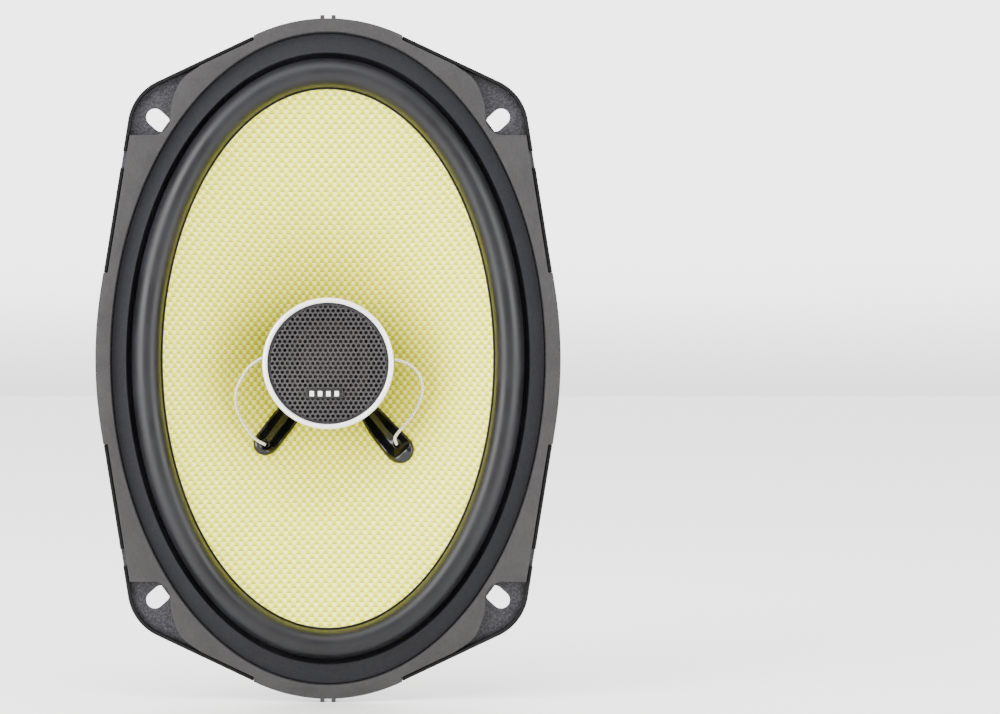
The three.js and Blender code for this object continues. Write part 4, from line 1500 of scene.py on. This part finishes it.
def build_label():
    radius, back, front = LABEL.x, LABEL.back, LABEL.front
    side = [(1, back), (radius - 0.5, back), (radius, back + 0.5), (radius, front), (1, front)]
    profile = [(0, back)] + rounded(side, 0.2, 3) + [(0, front)]
    disc = turned("label_disc", profile, 192)
    settle(disc, FOIL, "frame", "rear_label_disc")
    wire = round_ring("label_bright_edge", circle(radius + 0.35, YOKE.back - 0.15, 0.55, 16), 192)
    settle(wire, NICKEL, "frame")


PRINT_DEPTH = 0.04
BLANK_BARS = ((-9.5, 9, 1.1), (-14.8, 12, 1.1), (-20.2, 7.5, 1.1), (-29.2, 15, 0.6))
DEVICE_Y = 27


def printed(name, loops, face=LABEL.back):
    """A flat printed mark on the label or on another face at a given height."""
    return flat_plate(name, loops, face - PRINT_DEPTH, face + PRINT_DEPTH)


def stroke(name, points, width):
    """A printed line on the label."""
    loop = []
    for side in (1, -1):
        line = points[::side]
        for index, point in enumerate(line):
            before = line[max(index - 1, 0)]
            after = line[min(index + 1, len(line) - 1)]
            along = complex(after[0] - before[0], after[1] - before[1])
            normal = along / abs(along) * 1j
            loop.append((point[0] + normal.real * width / 2, point[1] + normal.imag * width / 2))
    return printed(name, [loop])


def build_label_print():
    """A plain device, a wave and blank bars stand where the maker's words were."""
    marks = [printed("device_rim", [circle(0, DEVICE_Y, 4.4, 48), circle(0, DEVICE_Y, 3.7, 48)])]
    for index in range(6):
        angle = math.pi / 3 * index + math.pi / 6
        dot = circle(2.3 * math.cos(angle), DEVICE_Y + 2.3 * math.sin(angle), 0.75, 20)
        marks.append(printed(f"device_dot_{index}", [dot]))
    for index, x in enumerate((-12, -7.6, 7.6, 12)):
        bar = rounded(rectangle(x - 1.4, DEVICE_Y - 2.2, x + 1.4, DEVICE_Y + 2.2), 0.3)
        marks.append(printed(f"device_bar_{index}", [bar]))
    for index in range(3):
        wave = [
            (x, 6.5 + 4.2 * (index - 1) + 3.2 * math.sin(x / 6.5 + 0.5 * index))
            for x in np.linspace(-29 + 3 * index, 29 - 3 * index, 90)
        ]
        marks.append(stroke(f"wave_{index}", wave, 1.3))
    for index, (y, wide, tall) in enumerate(BLANK_BARS):
        marks.append(printed(f"bar_{index}", [rounded(rectangle(-wide, y - tall, wide, y + tall), 0.4)]))
    label_marks = join("label_marks", marks)
    settle(label_marks, PRINT, "frame")


def build_rivets():
    for number in range(1, 5):
        node = f"basket_rivet_{number}"
        extent = Extent(node)
        head, top = extent.front - 0.85, extent.front
        profile = [
            (0, extent.back), (2, extent.back), (2, head), (3.4, head), (3.2, top - 0.45),
            (2.4, top - 0.12), (1.2, top), (0, top),
        ]
        rivet = turned(f"rivet_{number}", profile, 32)
        move(rivet, extent.middle_x, extent.middle_y)
        settle(rivet, DARK_STEEL, "frame", node)


build_boot()
build_yoke()
build_label()
build_label_print()
build_rivets()


# --- Terminal block ---

LUG_X = 9


def build_block():
    low = (BLOCK.low_x, BLOCK.low_y, BLOCK.back)
    high = (BLOCK.high_x, BLOCK.high_y, BLOCK.front)
    body = box("block_body", low, high, 0.6, 3)
    back, inner = BLOCK.back, BLOCK.high_y
    recesses = (
        ("left_notch", -LUG_X, 2.8, 2.9, back - 1, back + 4.2),
        ("right_notch", LUG_X, 2.8, 2.9, back - 1, back + 4.2),
        ("trough", 0, 13.6, 1.5, back + 1.1, back + 2.6),
        ("slot", 0, 3.2, 2.6, back + 2.0, BLOCK.front - 1.6),
    )
    for name, x, half, depth, start, end in recesses:
        cut(body, box(name, (x - half, inner - depth, start), (x + half, inner + 1, end), 0))
    settle(body, BLOCK_PLASTIC, "frame", "terminal_block")


def build_symbols():
    y = BLOCK.low_y + 3.9
    marks = []
    for x, plus in ((9.8, False), (-9.8, True)):
        rim = [circle(x, y, 2.5, 40), circle(x, y, 2.05, 40)]
        marks.append(printed("symbol_rim", rim, BLOCK.back))
        bars = [(1.2, 0.24)] + ([(0.24, 1.2)] if plus else [])
        for wide, tall in bars:
            bar = rectangle(x - wide, y - tall, x + wide, y + tall)
            marks.append(printed("symbol_bar", [bar], BLOCK.back))
    symbols = join("terminal_symbols", marks)
    settle(symbols, WHITE_PRINT, "frame")


def build_lug(node, x):
    """A brass tag with an eye at its inner end, curled over where the lead is soldered."""
    extent = Extent(node)
    low_y, high_y = extent.low_y, extent.high_y
    width = extent.x
    eye = high_y - width
    loop = [(x - width, low_y), (x + width, low_y)] + arc(x, eye, width, 0, math.pi, 20)
    tag = flat_plate(node + "_tag", [loop, circle(x, eye, 1.1, 24)], extent.back, extent.front, 0.12)
    curl = []
    for index in range(25):
        angle = math.pi * 1.25 * index / 24
        rise = 0.1 + 1.2 * (1 - math.cos(angle))
        curl.append(at(x + width * 0.55, eye - 2.6 - 1.3 * math.sin(angle), extent.back - rise))
    loop_wire = tube(node + "_curl", curl, 0.35 * MM, 10)
    lug = join(node + "_brass", [tag, loop_wire])
    settle(lug, BRASS, "frame", node)


def build_solder(name, x, y, radius):
    """A dot of glue where a lead ends, on the cone's back."""
    profile = [(0, -0.2), (radius, -0.2), (radius * 0.95, 0.35), (radius * 0.6, 0.8), (0, 1.0)]
    edge = rounded(profile[1:-1], 0.3, 3, False)
    dot = turned(name, profile[:1] + edge + profile[-1:], 32)
    for vertex in dot.data.vertices:
        across, up, out = x + vertex.co.x / MM, y + vertex.co.z / MM, -vertex.co.y / MM
        vertex.co = at(across, up, cone_height(across, up) - CONE_THICKNESS - out)
    dot.data.flip_normals()
    settle(dot, GLUE, "cone_assembly")


build_block()
build_symbols()
build_lug("terminal_lug_negative", LUG_X)
build_lug("terminal_lug_positive", -LUG_X)
anchor_x, anchor_y, _ = TINSEL_LEAD[-1]
build_solder("lead_anchor_left", -anchor_x, anchor_y, 2.4)
build_solder("lead_anchor_right", anchor_x, anchor_y, 2.4)


# --- Pieces that keep their CAD shape ---

CARRIED_OVER = {
    "top_plate": DARK_STEEL, "ferrite_magnet": FERRITE, "voice_coil_former": FORMER,
    "voice_coil_winding": COPPER, "tweeter_post": BLACK_PLASTIC, "post_bolt": NICKEL,
    "tweeter_coil": COPPER, "tweeter_pole_cup": STEEL, "tweeter_magnet": NICKEL,
    "tweeter_top_plate": STEEL, "tweeter_ring": BLACK_PLASTIC, "tweeter_capacitor": FILM,
}
for carried_node, carried_material in CARRIED_OVER.items():
    repaint(carried_node, carried_material)


# --- Floor, light and camera ---

def build_stage():
    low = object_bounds()[0][2]
    floor = new_object("floor", [(-6, -6, low), (6, -6, low), (6, 6, low), (-6, 6, low)], [(0, 1, 2, 3)])
    pale = Finish("floor_pale", (0.9, 0.9, 0.9, 1), 0.42, shine=1.0)
    pale.color(pale.mix(pale.noise(3, 2), (0.89, 0.89, 0.89, 1), (0.91, 0.91, 0.91, 1)))
    floor.data.materials.append(pale.material)


FRONT_GLOW = 0.9
BACK_GLOW = 4.0
HORIZON_SHARE = 0.56


def build_sky():
    """A bright wall behind the object and a dim room in front of it, so that black parts that
    face the front stay black. The wall darkens softly down to the floor's far edge."""
    world = bpy.data.worlds.new("studio")
    world.use_nodes = True
    sky = Nodes(world.node_tree, "Generated")
    background = sky.tree.nodes["Background"]
    background.inputs["Color"].default_value = (1, 1, 1, 1)
    _, y, z = sky.axes()
    glow = sky.spread(y, -0.5, 0.75, FRONT_GLOW, BACK_GLOW)
    horizon = sky.spread(z, -0.018, 0.05, HORIZON_SHARE, 1.0)
    sky.feed(background.inputs["Strength"], sky.times(glow, horizon))
    bpy.context.scene.world = world


def build_lamps():
    lamps = (
        ("left", (-1.25, -0.85, 0.35), 1.1, 1.6, 70),
        ("right", (1.25, -0.8, 0.1), 1.0, 1.5, 44),
        ("top", (-0.2, -0.7, 1.35), 1.6, 0.8, 22),
    )
    for name, place, width, height, power in lamps:
        light = bpy.data.lights.new(name, "AREA")
        light.shape = "RECTANGLE"
        light.size = width
        light.size_y = height
        light.energy = power
        lamp = linked(name, light)
        lamp.location = place
        lamp.rotation_euler = (-Vector(place)).to_track_quat("-Z", "Y").to_euler()


CAMERA_DISTANCE = 0.75


def build_camera():
    """Straight in front, with the object left of the picture's middle."""
    view = bpy.data.cameras.new("camera")
    view.lens = 77.6
    view.sensor_width = 36
    view.shift_x = 0.172
    view.shift_y = 0.0015
    camera = linked("camera", view)
    camera.location = (0, -CAMERA_DISTANCE, 0)
    camera.rotation_euler = (math.pi / 2, 0, 0)
    bpy.context.scene.camera = camera


build_stage()
build_sky()
build_lamps()
build_camera()
